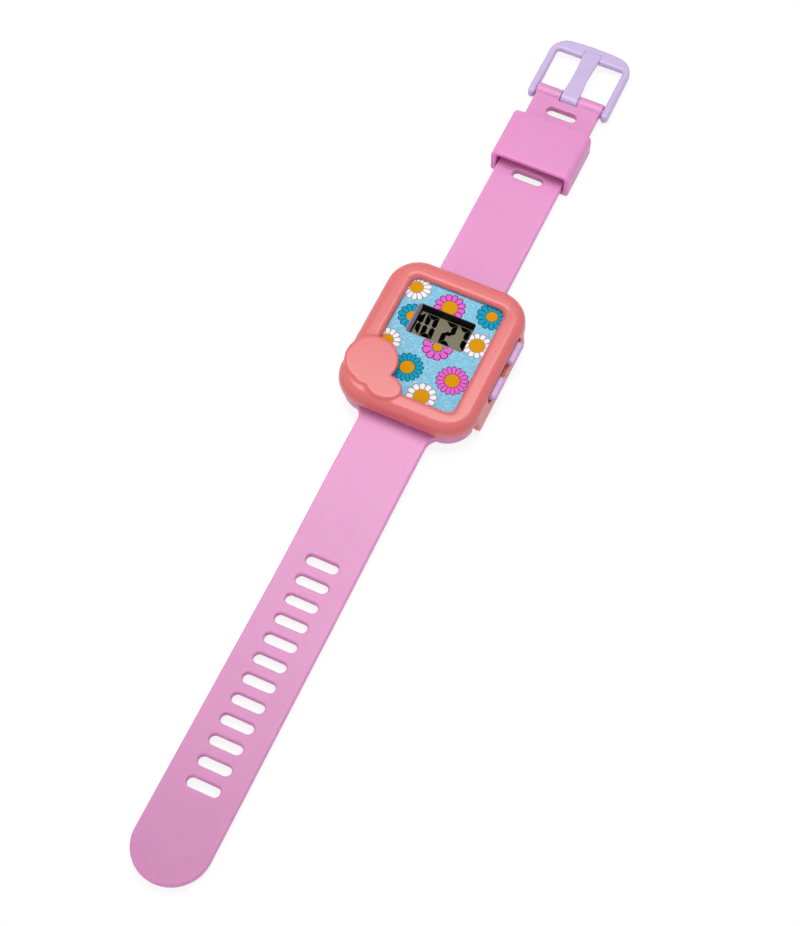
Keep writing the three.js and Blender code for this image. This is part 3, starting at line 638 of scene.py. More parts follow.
frame_half = (FRAME_HALF, (BAR_OUTER - ARM_END) / 2)
buckle = add_plane("buckle_frame_skin", frame_half, (0, (ARM_END + BAR_OUTER) / 2, FRAME_LOW))
edit(buckle)
choose(buckle, "verts", lambda at, _: at.y > BAR_OUTER - TOUCH)
bpy.ops.mesh.bevel(offset=BAR_CORNER * MM, segments=14, affect="VERTICES")
choose(buckle, "edges", lambda at, edge: at.y > BAR_OUTER - TOUCH)
bpy.ops.mesh.subdivide(number_cuts=15)
bpy.ops.object.mode_set(mode="OBJECT")
for vert in buckle.data.vertices:
    if vert.co.y > FRAME_MIDDLE * MM:
        vert.co.y += BAR_ARCH * MM * (1 - (vert.co.x / (FRAME_HALF * MM)) ** 2)
raise_plate(buckle, FRAME_HIGH - FRAME_LOW)
close_block(buckle)
for vert in buckle.data.vertices:
    if vert.co.z < (FRAME_LOW + TOUCH) * MM:
        vert.co.z += FRAME_RISE * (vert.co.y - ARM_END * MM) / (BAR_OUTER - ARM_END)
print("buckle outline", len(buckle.data.vertices), "points")

# %% [markdown]
# A box with two rounded corners cuts the gap between the arms, the arm ends are rounded in plan, and one
# bevel rounds all rims. The tongue's seat and the pin's holes come after the bevel, because their edges
# stay crisp.

# %% Buckle frame: gap, rims and seat
GAP_HALF, GAP_START, GAP_ROUND = 8.3, 70, 0.7
ARM_ROUND, FRAME_RIM = 0.8, 0.62
SEAT_HALF, SEAT_Y, SEAT_LOW, SEAT_ROUND = 2.13, (88.5, 91.34), 2.8, 0.2
PIN_HOLE_HALF = 9.5

gap = add_box("opening", (-GAP_HALF, GAP_START, CUT_LOW), (GAP_HALF, BAR_INNER, CUT_HIGH))
soften(gap, GAP_ROUND, 5, lambda at, edge: runs_along(edge, Z) and at.y > FRAME_MIDDLE)
cut(buckle, gap)
soften(buckle, ARM_ROUND, 5, lambda at, edge: runs_along(edge, Z) and at.y < ARM_END + TOUCH)
soften(buckle, FRAME_RIM, 5, on_rim)
seat = add_box("tongue_seat", (-SEAT_HALF, SEAT_Y[0], SEAT_LOW), (SEAT_HALF, SEAT_Y[1], CUT_HIGH))
soften(seat, SEAT_ROUND, 4, lambda at, edge: runs_along(edge, Z) and at.y > SEAT_Y[1] - TOUCH)
pin_hole = add_rod("pin_hole", BORE_RADIUS, -PIN_HOLE_HALF, PIN_HOLE_HALF, X, (PIN_Y, PIN_Z), sides=24)
cut(buckle, seat, pin_hole)
even_shading(buckle)
settle(buckle, "buckle_frame", "buckle_lilac", "buckle_frame", angle=None)

# %% [markdown]
# The tongue is a flat band that curls round the pin. Its cross-section is a small plane stood on edge
# above the pin: extruding it forwards draws the band, with a soft knee half way, and Spin wraps the
# other end round the pin's axis, so that band and curl stay one mesh. Each stop of the band has a place
# along the strap, a height and half a width.

# %% Buckle tongue
TONGUE = (
    (77.0, 3.52, 2.05), (78.6, 3.57, 2.05), (81.4, 3.74, 1.8), (82.6, 3.79, 1.75), (83.6, 3.78, 1.76),
    (86.4, 3.6, 1.88), (89.2, 3.4, 2.04), (90.9, 3.29, 2.1), (91.3, 3.27, 2.06),
)
CURL_MIDDLE, CURL_ANGLE, CURL_STEPS = 1.12, -310, 18
BAND_HALF, BAND_SIDE, BAND_RIM = 0.43, 1.6, 0.15
CURL_WELD, CORNER_ANGLE = 0.001, 60
pin_axis = (0, PIN_Y * MM, PIN_Z * MM)

section = (TONGUE[0][2], BAND_HALF)
tongue = add_plane("buckle_tongue_skin", section, (0, PIN_Y, PIN_Z + CURL_MIDDLE), (math.pi / 2, 0, 0))
edit(tongue)
bpy.ops.mesh.select_mode(type="FACE")
bpy.ops.mesh.select_all(action="SELECT")
for here, there in zip(TONGUE, TONGUE[1:]):
    move = (0, (there[0] - here[0]) * MM, (there[1] - here[1]) * MM)
    bpy.ops.mesh.extrude_region_move(TRANSFORM_OT_translate={"value": move})
    bpy.ops.transform.resize(value=(there[2] / here[2], 1, 1))
choose(tongue, "faces", lambda at, face: abs(at.y - PIN_Y) < TOUCH and abs(face.normal.y) > 0.9)
bpy.ops.mesh.spin(steps=CURL_STEPS, angle=math.radians(CURL_ANGLE), center=pin_axis, axis=(1, 0, 0))
bpy.ops.mesh.select_all(action="SELECT")
bpy.ops.mesh.remove_doubles(threshold=CURL_WELD * MM)
close_block(tongue)


def is_band_corner(at, edge):
    """True for the four long edges of the band, which lie at its two sides."""
    at_side = abs(at.x) > BAND_SIDE and not runs_along(edge, X)
    return at_side and edge.calc_face_angle(0) > math.radians(CORNER_ANGLE)


soften(tongue, BAND_RIM, 3, is_band_corner)
even_shading(tongue)
settle(tongue, "buckle_tongue", "buckle_lilac", "buckle_tongue", angle=None)

# %% [markdown]
# The pin is a plain steel rod with softened ends. It sits in the arms of the frame and moves with them,
# so it rides on the frame's body. A cylinder primitive is all that it needs.

# %% Buckle pin
PIN_HALF, PIN_RADIUS, PIN_RIM = 9.2, 0.6, 0.2
pin = add_rod("buckle_pin_skin", PIN_RADIUS, -PIN_HALF, PIN_HALF, X, (PIN_Y, PIN_Z), sides=32)
soften(pin, PIN_RIM, 3, lambda at, edge: abs(abs(at.x) - PIN_HALF) < TOUCH)
settle(pin, "buckle_frame", "steel", "buckle_pin")

# %% [markdown]
# ## The buttons
# Each button is a capsule-shaped cap on a stem. A box with its long edges bevelled to half its height
# is a capsule; a second, smaller bevel rounds its outer rim. The lower button is a copy, so that both
# stay alike.

# %% Side buttons
CAP_X, CAP_Z, CAP_HALF = (14.05, 17.4), (4.3, 6.2), 3
CAP_ROUND, CAP_RIM = 0.94, 0.5
STEM_X, STEM_Z, STEM_HALF = (10.6, CAP_X[0] + 1), (4.4, 5.7), 1.5


def copy_piece(piece, name, shift):
    """A copy of a piece, moved by a shift in millimetres that is applied to its mesh."""
    take(piece)
    bpy.ops.object.duplicate()
    twin = bpy.context.object
    twin.name = twin.data.name = name
    bpy.ops.transform.translate(value=[value * MM for value in shift])
    bpy.ops.object.transform_apply(location=True, rotation=False, scale=False)
    return twin


y = BUTTON_AT["upper"]
cap = add_box("button_cap_upper", (CAP_X[0], y - CAP_HALF, CAP_Z[0]), (CAP_X[1], y + CAP_HALF, CAP_Z[1]))
soften(cap, CAP_ROUND, 9, lambda at, edge: runs_along(edge, X))
soften(cap, CAP_RIM, 5, lambda at, edge: at.x > CAP_X[1] - TOUCH)
stem_low, stem_high = (STEM_X[0], y - STEM_HALF, STEM_Z[0]), (STEM_X[1], y + STEM_HALF, STEM_Z[1])
join(cap, add_box("stem", stem_low, stem_high))
lower_cap = copy_piece(cap, "button_cap_lower", (0, BUTTON_AT["lower"] - y, 0))
for row_name, button in (("upper", cap), ("lower", lower_cap)):
    even_shading(button)
    settle(button, f"button_{row_name}", "button_lilac", f"button_{row_name}", angle=None)

# %% [markdown]
# ## The back
# Under the case a plate closes the module. It is a rounded plate with soft rims, and each of its corners
# has a sunk hole for a screw's head and a narrower one for its shank. The rims are softened before the
# holes are cut, so that the holes stay crisp.

# %% Back plate
BACK_HALF, BACK_CORNER, BACK_HIGH, BACK_RIM = (12.45, 15.35), 3.65, 1.2, 0.28
SCREW_AT = (9.4, 12.3)
HEAD_ROOM_RADIUS, HEAD_ROOM_HIGH = 1.45, 0.8
CLEARANCE_RADIUS, CLEARANCE_HIGH = 0.85, 2

back = add_plate("back_cover", BACK_HALF, BACK_CORNER, 0)
raise_plate(back, BACK_HIGH)
close_block(back)
soften(back, BACK_RIM, 4, on_rim)
corners = [(SCREW_AT[X] * x, SCREW_AT[Y] * y) for x, y in ((1, 1), (-1, 1), (-1, -1), (1, -1))]
for at in corners:
    cut(back, add_rod("head_room", HEAD_ROOM_RADIUS, CUT_LOW, HEAD_ROOM_HIGH, around=at))
    cut(back, add_rod("clear", CLEARANCE_RADIUS, CUT_LOW, CLEARANCE_HIGH, around=at))
even_shading(back)
settle(back, "case", "back_pink", "back_plate", angle=None)

# %% [markdown]
# Four screws hold the plate. One is modelled, a low head with a cross recess on a plain shank, and
# copied to the other corners, so that all four stay alike.

# %% Back screws
HEAD_RADIUS, HEAD_LOW, HEAD_HIGH, HEAD_RIM = 1.3, 0.15, 0.65, 0.14
SHANK_RADIUS, SHANK_LOW, SHANK_HIGH = 0.7, 0.5, 4.25
RECESS_LONG, RECESS_NARROW, RECESS_HIGH = 0.85, 0.19, 0.42

x, y = corners[0]
screw = add_rod("back_screw_skin_1", HEAD_RADIUS, HEAD_LOW, HEAD_HIGH, around=(x, y), sides=32)
soften(screw, HEAD_RIM, 3, lambda at, edge: at.z < HEAD_LOW + TOUCH)
join(screw, add_rod("shank", SHANK_RADIUS, SHANK_LOW, SHANK_HIGH, around=(x, y), sides=20))
for wide, deep in ((RECESS_LONG, RECESS_NARROW), (RECESS_NARROW, RECESS_LONG)):
    cut(screw, add_box("recess", (x - wide, y - deep, 0), (x + wide, y + deep, RECESS_HIGH)))
screws = [screw]
for at in corners[1:]:
    name = f"back_screw_skin_{len(screws) + 1}"
    screws.append(copy_piece(screw, name, (at[X] - x, at[Y] - y, 0)))
for index, screw in enumerate(screws, 1):
    settle(screw, "case", "steel", f"back_screw_{index}", angle=30)

# %% [markdown]
# ## The display
# A dark bezel lines the opening of the card down to the glass. Its walls lean outwards and leave a
# narrow rim: the cutter is a plate that is extruded upwards, shifted and scaled up on the way. Shaping
# the cutter is simpler than moving the inner walls of a finished frame.

# %% Display bezel
GLASS_TOP = 5.5
BEZEL_AT, BEZEL_HALF, BEZEL_CORNER = (-0.35, 4.84), (6.78, 4.0), 0.68
HOLE_AT, HOLE_LOW_HALF, HOLE_CORNER = (0.07, 4.68), (6.13, 3.38), 0.3
HOLE_TOP_HALF = (6.62, 3.85)
BEZEL_HIGH, HOLE_DROP, HOLE_STEP, HOLE_RISE = 1.62, 0.3, 0.35, 1.6

bezel = add_plate("display_bezel", BEZEL_HALF, BEZEL_CORNER, GLASS_TOP + TOUCH, 6, BEZEL_AT)
raise_plate(bezel, BEZEL_HIGH)
close_block(bezel)
hole = add_plate("hole", HOLE_LOW_HALF, HOLE_CORNER, GLASS_TOP - HOLE_DROP, 6, HOLE_AT)
raise_plate(hole, HOLE_STEP)
shift = [(out - low) * MM for out, low in zip(BEZEL_AT, HOLE_AT)]
bpy.ops.mesh.extrude_region_move(TRANSFORM_OT_translate={"value": (*shift, HOLE_RISE * MM)})
growth = [out / low for out, low in zip(HOLE_TOP_HALF, HOLE_LOW_HALF)]
middle = (BEZEL_AT[X] * MM, BEZEL_AT[Y] * MM, 0)
bpy.ops.transform.resize(value=(*growth, 1), center_override=middle)
close_block(hole)
cut(bezel, hole)
settle(bezel, "case", "dark_plastic")

# %% [markdown]
# The display shows the time in seven-segment digits. Each lit segment is a thin plane. Its inner
# corners are drawn in, so that neighbours meet in a mitre, and its ends at the middle of the digit are
# bevelled to blunt points. SEGMENTS holds the place of each segment in its digit and its turn.

# %% One display segment
SEGMENTS = {
    "a": (0, 1, 0), "b": (1, 0.61, 90), "c": (1, -0.61, 90), "d": (0, -1, 0),
    "e": (-1, -0.61, 90), "f": (-1, 0.61, 90), "g": (0, 0, 0),
}
UPRIGHT_HALF, LEVEL_HALF, MIDDLE_HALF = (1.39, 0.55), (1.34, 0.5), (0.71, 0.5)
SEGMENT_POINT = 0.4


def add_segment(x, y, turn):
    """One segment about its own middle; x and y say on which side of the digit it lies."""
    half = UPRIGHT_HALF if turn else LEVEL_HALF if y else MIDDLE_HALF
    along = Y if turn else X
    bar = add_plane("segment", half, (0, 0, 0), (0, 0, math.radians(turn)))
    for vert in bar.data.vertices:
        inner = vert.co.x * x < 0 < vert.co.y * y if turn else vert.co.y * y < 0
        if inner:
            vert.co[along] -= math.copysign(2 * half[1] * MM, vert.co[along])
    edit(bar)
    if choose(bar, "verts", lambda at, _: at.y * y < 0 if turn else not y):
        bpy.ops.mesh.bevel(offset=SEGMENT_POINT * MM, segments=1, affect="VERTICES")
    bpy.ops.object.mode_set(mode="OBJECT")
    return bar


print(len(SEGMENTS), "kinds of segment")

# %% [markdown]
# The segments of all four digits are leaned a little, laid out on the glass and joined to one layer,
# which is extruded by a hair so that it has a top and a bottom like a print.

# %% Display digits
DISPLAY_AT = (0, 5.0)
DIGIT_HALF = (0.86, 2.4)
LEAN = math.tan(math.radians(-4))
LIT = {"0": "abcdef", "1": "bc", "2": "abged", "7": "abc"}
DIGITS = (("1", -6.3), ("0", -3.05), ("2", 1.4), ("7", 4.45))
PRINT_GAP, PRINT_HIGH = 0.02, 0.03

bars = []
for digit, offset in DIGITS:
    for name in LIT[digit]:
        x, y, turn = SEGMENTS[name]
        bar = add_segment(x, y, turn)
        for vert in bar.data.vertices:
            lift = vert.co.y + y * DIGIT_HALF[Y] * MM
            vert.co.x += (DISPLAY_AT[X] + offset + x * DIGIT_HALF[X]) * MM + lift * LEAN
            vert.co.y = lift + DISPLAY_AT[Y] * MM
            vert.co.z = (GLASS_TOP + PRINT_GAP) * MM
        bars.append(bar)
take(bars[0])
for bar in bars:
    bar.select_set(True)
bpy.ops.object.join()
digits = start_piece("display_digits")
raise_plate(digits, PRINT_HIGH)
close_block(digits)
settle(digits, "case", "dark_plastic")

# %% [markdown]
# ## Materials
# All paint comes from shader nodes that read the object's own coordinates, so nothing depends on an
# image file. These helpers add a node, wire it or set its values, and turn a colour code from a
# colour picker into the linear values that shaders use.

# %% Node helpers
def tone(code):
    """A six-digit colour code as linear red, green, blue and alpha."""
    parts = [int(code[i : i + 2], 16) / 255 for i in (0, 2, 4)]
    return [c / 12.92 if c <= 0.04045 else ((c + 0.055) / 1.055) ** 2.4 for c in parts] + [1.0]


def put(tree, socket, value):
    """Give a socket a value, or a wire if the value is another node's output."""
    if isinstance(value, bpy.types.NodeSocket):
        tree.links.new(value, socket)
    else:
        socket.default_value = value


def add_node(tree, kind, **inputs):
    """Add a shader node; inputs are named after its sockets."""
    made = tree.nodes.new("ShaderNode" + kind)
    for name, value in inputs.items():
        put(tree, made.inputs[name], value)
    return made


def calc(tree, operation, *values):
    """A Math node."""
    made = tree.nodes.new("ShaderNodeMath")
    made.operation = operation
    for socket, value in zip(made.inputs, values):
        put(tree, socket, value)
    return made.outputs[0]


def blend(tree, factor, under, over):
    """A colour Mix node."""
    made = tree.nodes.new("ShaderNodeMix")
    made.data_type = "RGBA"
    for index, value in ((0, factor), (6, under), (7, over)):
        put(tree, made.inputs[index], value)
    return made.outputs[2]


def limits(tree, value, low, high, start=0.0, end=1.0):
    """A smooth Map Range node, used for soft steps and for narrow ranges of roughness."""
    made = add_node(tree, "MapRange", Value=value)
    made.interpolation_type = "SMOOTHSTEP"
    for index, number in ((1, low), (2, high), (3, start), (4, end)):
        made.inputs[index].default_value = number
    return made.outputs[0]


print("white is", tone("ffffff"))

# %% [markdown]
# Patterns are laid out in millimetres, so that a grain has the same size on every piece. Most values of
# a noise lie within MOST, so a soft step between those two uses its whole play. A material starts as a
# single Principled shader, whose sockets the recipes below fill.

# %% Coordinates and empty materials
PER_METRE = 1000
MOST = (0.3, 0.7)


def millimetres(tree):
    """The object's own coordinates in millimetres."""
    place = add_node(tree, "TexCoord").outputs["Object"]
    return add_node(tree, "Mapping", Vector=place, Scale=(PER_METRE, PER_METRE, PER_METRE)).outputs[0]


def grain(tree, where, scale, detail=3.0):
    """A noise pattern; scale is the number of spots in a millimetre."""
    return add_node(tree, "TexNoise", Vector=where, Scale=scale, Detail=detail).outputs[0]


def emboss(tree, shader, height, strength, distance):
    """Let a pattern raise and sink the surface by a distance in metres."""
    relief = add_node(tree, "Bump", Strength=strength, Distance=distance, Height=height)
    put(tree, shader.inputs["Normal"], relief.outputs[0])


def new_material(name):
    """An empty node material with one Principled shader."""
    material = bpy.data.materials.new(name)
    material.use_nodes = True
    tree = material.node_tree
    tree.nodes.clear()
    shader = add_node(tree, "BsdfPrincipled")
    tree.links.new(shader.outputs[0], add_node(tree, "OutputMaterial").inputs[0])
    return material, tree, shader


def dress(piece, material):
    """Give a piece one material."""
    piece.data.materials.clear()
    piece.data.materials.append(material)


print("patterns count in parts of", 1 / PER_METRE, "metres")

# %% [markdown]
# The plastics share one recipe. Wide, faint clouds vary the colour the way pigment does in a moulding,
# a fine grain roughens the surface, and a little light scatters below it. The soft rubber of strap and
# keeper lets light in deepest, which keeps its shadows warm.

# %% Plastics and rubbers
CLOUD_SCALE, GRAIN_SCALE = 0.11, 7.0
GRAIN_DEPTH = 0.00002
SCATTER_SCALE = 0.0015


def plastic(name, light, dark, rough, bump=0.1, scatter=0.0, depth=(1.0, 0.4, 0.6), shine=0.5):
    """A moulded plastic; depth says how far red, green and blue light scatter in it."""
    material, tree, shader = new_material(name)
    where = millimetres(tree)
    clouds = limits(tree, grain(tree, where, CLOUD_SCALE), *MOST)
    colour = blend(tree, clouds, tone(dark), tone(light))
    fine = grain(tree, where, GRAIN_SCALE, 4.0)
    colour = blend(tree, limits(tree, fine, 0.35, 0.75, 0.0, 0.05), colour, tone(dark))
    put(tree, shader.inputs["Base Color"], colour)
    put(tree, shader.inputs["Roughness"], limits(tree, fine, *MOST, rough - 0.04, rough + 0.05))
    emboss(tree, shader, fine, bump, GRAIN_DEPTH)
    shader.inputs["Specular IOR Level"].default_value = shine
    if scatter:
        shader.inputs["Subsurface Weight"].default_value = scatter
        shader.inputs["Subsurface Radius"].default_value = depth
        shader.inputs["Subsurface Scale"].default_value = SCATTER_SCALE
    return material


SOFT_DEPTH, CORAL_DEPTH = (1.5, 0.5, 1.1), (2.2, 0.4, 0.4)
strap_pink = plastic("strap_pink", "dc91c4", "da8fc2", 0.45, scatter=0.9, depth=SOFT_DEPTH, shine=0.75)
keeper_pink = plastic("keeper_pink", "dc8ec3", "da8cc1", 0.43, scatter=0.9, depth=SOFT_DEPTH, shine=0.7)
cover_coral = plastic("cover_coral", "db6d6e", "d96b6c", 0.24, bump=0.015, scatter=0.45, depth=CORAL_DEPTH)
buckle_lilac = plastic("buckle_lilac", "c8b4dc", "c3afd8", 0.34, bump=0.04, scatter=0.15)
button_lilac = plastic("button_lilac", "c9a2ce", "c49cca", 0.38, bump=0.05, scatter=0.1)
back_pink = plastic("back_pink", "dc95c5", "d992c2", 0.48, bump=0.2, scatter=0.1, shine=0.4)
dark_plastic = plastic("dark_plastic", "1c191e", "141216", 0.45, bump=0.15, shine=0.3)
segment_black = plastic("segment_black", "060607", "040405", 0.5, bump=0.02, shine=0.0)
board_green = plastic("board_green", "2c7a4b", "1f5f3a", 0.45, bump=0.2)
epoxy_black = plastic("epoxy_black", "1f1e20", "131214", 0.3)
rubber_grey = plastic("rubber_grey", "4a484c", "3a383c", 0.7, bump=0.3)
print("plastics ready")

# %% [markdown]
# Metal parts carry fine streaks along the turning or rolling direction: noise stretched along one
# axis changes the roughness, which shows more on metal than a change of colour would.

# %% Metals
STREAK_SCALE, STREAK_DEPTH = 2.0, 0.00001


def metal(name, light, dark, rough, stretch):
    """A bare metal; stretch is the number of streaks along each axis."""
    material, tree, shader = new_material(name)
    streaks = add_node(tree, "Mapping", Vector=millimetres(tree), Scale=stretch).outputs[0]
    lines = grain(tree, streaks, STREAK_SCALE, 5.0)
    put(tree, shader.inputs["Base Color"], blend(tree, lines, tone(dark), tone(light)))
    put(tree, shader.inputs["Roughness"], limits(tree, lines, *MOST, rough - 0.08, rough + 0.1))
    emboss(tree, shader, lines, 0.1, STREAK_DEPTH)
    shader.inputs["Metallic"].default_value = 1.0
    return material


steel = metal("steel", "d4d2d0", "a9a6a4", 0.3, (0.3, 6, 6))
silver_film = metal("silver_film", "dcdcda", "b8b8b6", 0.35, (4, 0.4, 4))
print("metals ready")

# %% [markdown]
# The display is an olive liquid-crystal layer under a dull pane, with painted shade towards its far edge.
# The bezel round it is dark, with a painted highlight where its left wall and its near rim catch the light.

# %% Display and bezel
PAINTED_SHADE_FROM, PAINTED_SHADE_TO = 0.5, 9.0
# LEFT_WALL and NEAR_RIM bound the painted highlight on the bezel.
LEFT_WALL, NEAR_RIM = (-6.42, -6.32), (1.06, 1.12)
SPECK_SCALE, BEZEL_GRAIN = 9.0, 8.0

display_olive, tree, shader = new_material("display_olive")
where = millimetres(tree)
across = add_node(tree, "SeparateXYZ", Vector=where).outputs
# Painted shade: the olive darkens towards the far edge, where the bezel's wall would shade it.
olive = blend(tree, limits(tree, across[Y], PAINTED_SHADE_FROM, PAINTED_SHADE_TO), tone("79735b"), tone("6d6852"))
speck = grain(tree, where, SPECK_SCALE, 2.0)
olive = blend(tree, limits(tree, speck, 0.4, 0.8, 0.0, 0.25), olive, tone("6c6751"))
put(tree, shader.inputs["Base Color"], olive)
put(tree, shader.inputs["Roughness"], limits(tree, speck, *MOST, 0.3, 0.4))
shader.inputs["Specular IOR Level"].default_value = 0.2

bezel_grey, tree, shader = new_material("bezel_grey")
where = millimetres(tree)
across = add_node(tree, "SeparateXYZ", Vector=where).outputs
# Painted highlight: the left wall and the near rim are painted pale grey-lilac, as if lit; the rest is dark
# plastic.
left_wall = limits(tree, across[X], *LEFT_WALL, 1.0, 0.0)
near_rim = limits(tree, across[Y], *NEAR_RIM, 1.0, 0.0)
painted_highlight = calc(tree, "MAXIMUM", left_wall, near_rim)
put(tree, shader.inputs["Base Color"], blend(tree, painted_highlight, tone("0c0809"), tone("958a9e")))
put(tree, shader.inputs["Roughness"], limits(tree, grain(tree, where, BEZEL_GRAIN), *MOST, 0.35, 0.45))
shader.inputs["Specular IOR Level"].default_value = 0.25
print("display and bezel ready")

# %% [markdown]
# ## The printed face
# The face is a card printed with daisies on glittering blue. A node group draws one daisy: it turns
# the place into an angle and a distance from the flower's middle, folds the angle so that one petal
# stands for all, and tests that petal against an ellipse. The group is then used once per flower. The
# print could be a painted image, but a drawing made of nodes stays sharp at any distance.

# %% Daisy: angle and distance
DAISY_INPUTS = (
    ("Under", "Color"), ("Place", "Vector"), ("Middle", "Vector"), ("Radius", "Float"), ("Petals", "Float"),
    ("Turn", "Float"), ("Core", "Float"), ("Petal", "Color"), ("Line", "Color"), ("Heart", "Color"),
)
WHOLE_TURNS = 100

daisy = bpy.data.node_groups.new("daisy", "ShaderNodeTree")
for name, kind in DAISY_INPUTS:
    daisy.interface.new_socket(name, in_out="INPUT", socket_type="NodeSocket" + kind)
daisy.interface.new_socket("Colour", in_out="OUTPUT", socket_type="NodeSocketColor")
given = daisy.nodes.new("NodeGroupInput").outputs
result = daisy.nodes.new("NodeGroupOutput").inputs

offset = add_node(daisy, "VectorMath")
offset.operation = "SUBTRACT"
put(daisy, offset.inputs[0], given["Place"])
put(daisy, offset.inputs[1], given["Middle"])
parts = add_node(daisy, "SeparateXYZ", Vector=offset.outputs[0]).outputs
x = calc(daisy, "DIVIDE", parts[X], given["Radius"])
y = calc(daisy, "DIVIDE", parts[Y], given["Radius"])
squares = [calc(daisy, "MULTIPLY", part, part) for part in (x, y)]
far = calc(daisy, "SQRT", calc(daisy, "ADD", *squares))
angle = calc(daisy, "ADD", calc(daisy, "ARCTAN2", y, x), given["Turn"])
wedge = calc(daisy, "DIVIDE", 2 * math.pi, given["Petals"])
turns = calc(daisy, "ADD", calc(daisy, "DIVIDE", angle, wedge), WHOLE_TURNS + 0.5)
from_petal = calc(daisy, "SUBTRACT", calc(daisy, "FRACT", turns), 0.5)
folded = calc(daisy, "MULTIPLY", from_petal, wedge)
along = calc(daisy, "MULTIPLY", far, calc(daisy, "COSINE", folded))
aside = calc(daisy, "MULTIPLY", far, calc(daisy, "SINE", folded))
print("daisy angles need", len(daisy.nodes), "nodes")

# %% [markdown]
# Each petal is a drop: an ellipse whose width grows with the distance from the middle. A ring just
# inside its rim takes the line colour. The heart of the flower is a disc with a thin ring.

# %% Daisy: petals and heart
PETAL_MIDDLE, PETAL_HALF = 0.66, 0.34
PETAL_ROOT = 0.03
LENGTH_POWER, WIDTH_POWER = 2.6, 2.2
OUTLINE, PETAL_EDGE = (0.96, 1.06), (0.74, 0.84)
RING_EDGE, HEART_EDGE = (0.03, 0.06), (-0.01, 0.02)

half_wedge = calc(daisy, "MULTIPLY", wedge, 0.5)
half_width = calc(daisy, "MULTIPLY", half_wedge, calc(daisy, "ADD", along, PETAL_ROOT))
lengthwise = calc(daisy, "DIVIDE", calc(daisy, "SUBTRACT", along, PETAL_MIDDLE), PETAL_HALF)
sidewise = calc(daisy, "DIVIDE", aside, half_width)
length_part = calc(daisy, "POWER", calc(daisy, "ABSOLUTE", lengthwise), LENGTH_POWER)
width_part = calc(daisy, "POWER", calc(daisy, "ABSOLUTE", sidewise), WIDTH_POWER)
rim = calc(daisy, "SQRT", calc(daisy, "ADD", length_part, width_part))
flower = blend(daisy, limits(daisy, rim, *OUTLINE, 1.0, 0.0), given["Under"], given["Line"])
flower = blend(daisy, limits(daisy, rim, *PETAL_EDGE, 1.0, 0.0), flower, given["Petal"])
beyond = calc(daisy, "SUBTRACT", far, given["Core"])
flower = blend(daisy, limits(daisy, beyond, *RING_EDGE, 1.0, 0.0), flower, given["Line"])
flower = blend(daisy, limits(daisy, beyond, *HEART_EDGE, 1.0, 0.0), flower, given["Heart"])
put(daisy, result["Colour"], flower)
print("a whole daisy needs", len(daisy.nodes), "nodes")

# %% [markdown]
# The card's ground is made of tiny Voronoi cells, each a little lighter or darker at random, like glitter,
# and the palest carry a painted glint. Ten daisies in three colours lie on it, some running out under the
# frame or the display. Each has an ink, a middle, a radius, a number of petals and the share of its heart.

# %% Face card
FLOWERS = (
    ("white", (-9.4, 12.1), 3.45, 14, 0.41), ("pink", (-0.65, 10.25), 3.55, 13, 0.5),
    ("teal", (8.6, 12.05), 3.45, 13, 0.36), ("teal", (-7.1, 4.9), 3.25, 13, 0.41),
    ("white", (-9.65, -2.9), 3.25, 13, 0.45), ("pink", (1.1, 0.1), 3.45, 10, 0.31),
    ("white", (8.65, 3.95), 3.25, 12, 0.52), ("teal", (-2.75, -7.25), 3.6, 17, 0.44),
    ("pink", (7.4, -6.3), 3.6, 17, 0.45), ("white", (3.05, -12.6), 3.45, 12, 0.5),
)
INKS = {"white": ("ebe9eb", "8a8391"), "pink": ("e260c4", "6a1866"), "teal": ("0a9abb", "063b55")}
HEART = "d29000"
TURN_STEP = 0.37
GLITTER_SCALE, CLOUDING_SCALE = 5.0, 0.6
PAINTED_GLINTS = (0.9, 0.97)

face_print, tree, shader = new_material("face_print")
where = millimetres(tree)
cells = add_node(tree, "TexVoronoi", Vector=where, Scale=GLITTER_SCALE)
spark = add_node(tree, "SeparateColor", Color=cells.outputs["Color"]).outputs[0]
ground = blend(tree, spark, tone("68add2"), tone("98cbde"))
# Painted glints: the palest cells get a lighter blue, as glitter catching the light.
ground = blend(tree, limits(tree, spark, *PAINTED_GLINTS), ground, tone("b8e0e8"))
clouding = limits(tree, grain(tree, where, CLOUDING_SCALE), 0.4, 0.7, 0.0, 0.3)
ground = blend(tree, clouding, ground, tone("78bdce"))
for index, (ink, middle, radius, petals, core) in enumerate(FLOWERS):
    group = tree.nodes.new("ShaderNodeGroup")
    group.node_tree = daisy
    petal, line = INKS[ink]
    values = {
        "Under": ground, "Place": where, "Middle": (*middle, 0), "Radius": radius,
        "Petals": petals, "Turn": TURN_STEP * index, "Core": core,
        "Petal": tone(petal), "Line": tone(line), "Heart": tone(HEART),
    }
    for name, value in values.items():
        put(tree, group.inputs[name], value)
    ground = group.outputs[0]
put(tree, shader.inputs["Base Color"], ground)
put(tree, shader.inputs["Roughness"], limits(tree, spark, 0.2, 0.9, 0.45, 0.6))
shader.inputs["Specular IOR Level"].default_value = 0.05
emboss(tree, shader, spark, 0.15, GRAIN_DEPTH)
print(len(FLOWERS), "daisies printed")

# %% [markdown]
# Every piece now gets its material, and so does every CAD node that shows itself, down to the small
# parts inside the module, which stay hidden until the watch is taken apart.

# %% Dressing the pieces
for piece, material in (
    (case, strap_pink), (cover, cover_coral), (keeper, keeper_pink), (buckle, buckle_lilac),
    (tongue, buckle_lilac), (pin, steel), (cap, button_lilac), (lower_cap, button_lilac),
    (back, back_pink), (digits, segment_black), (bezel, bezel_grey),
):
    dress(piece, material)
for screw in screws:
    dress(screw, steel)

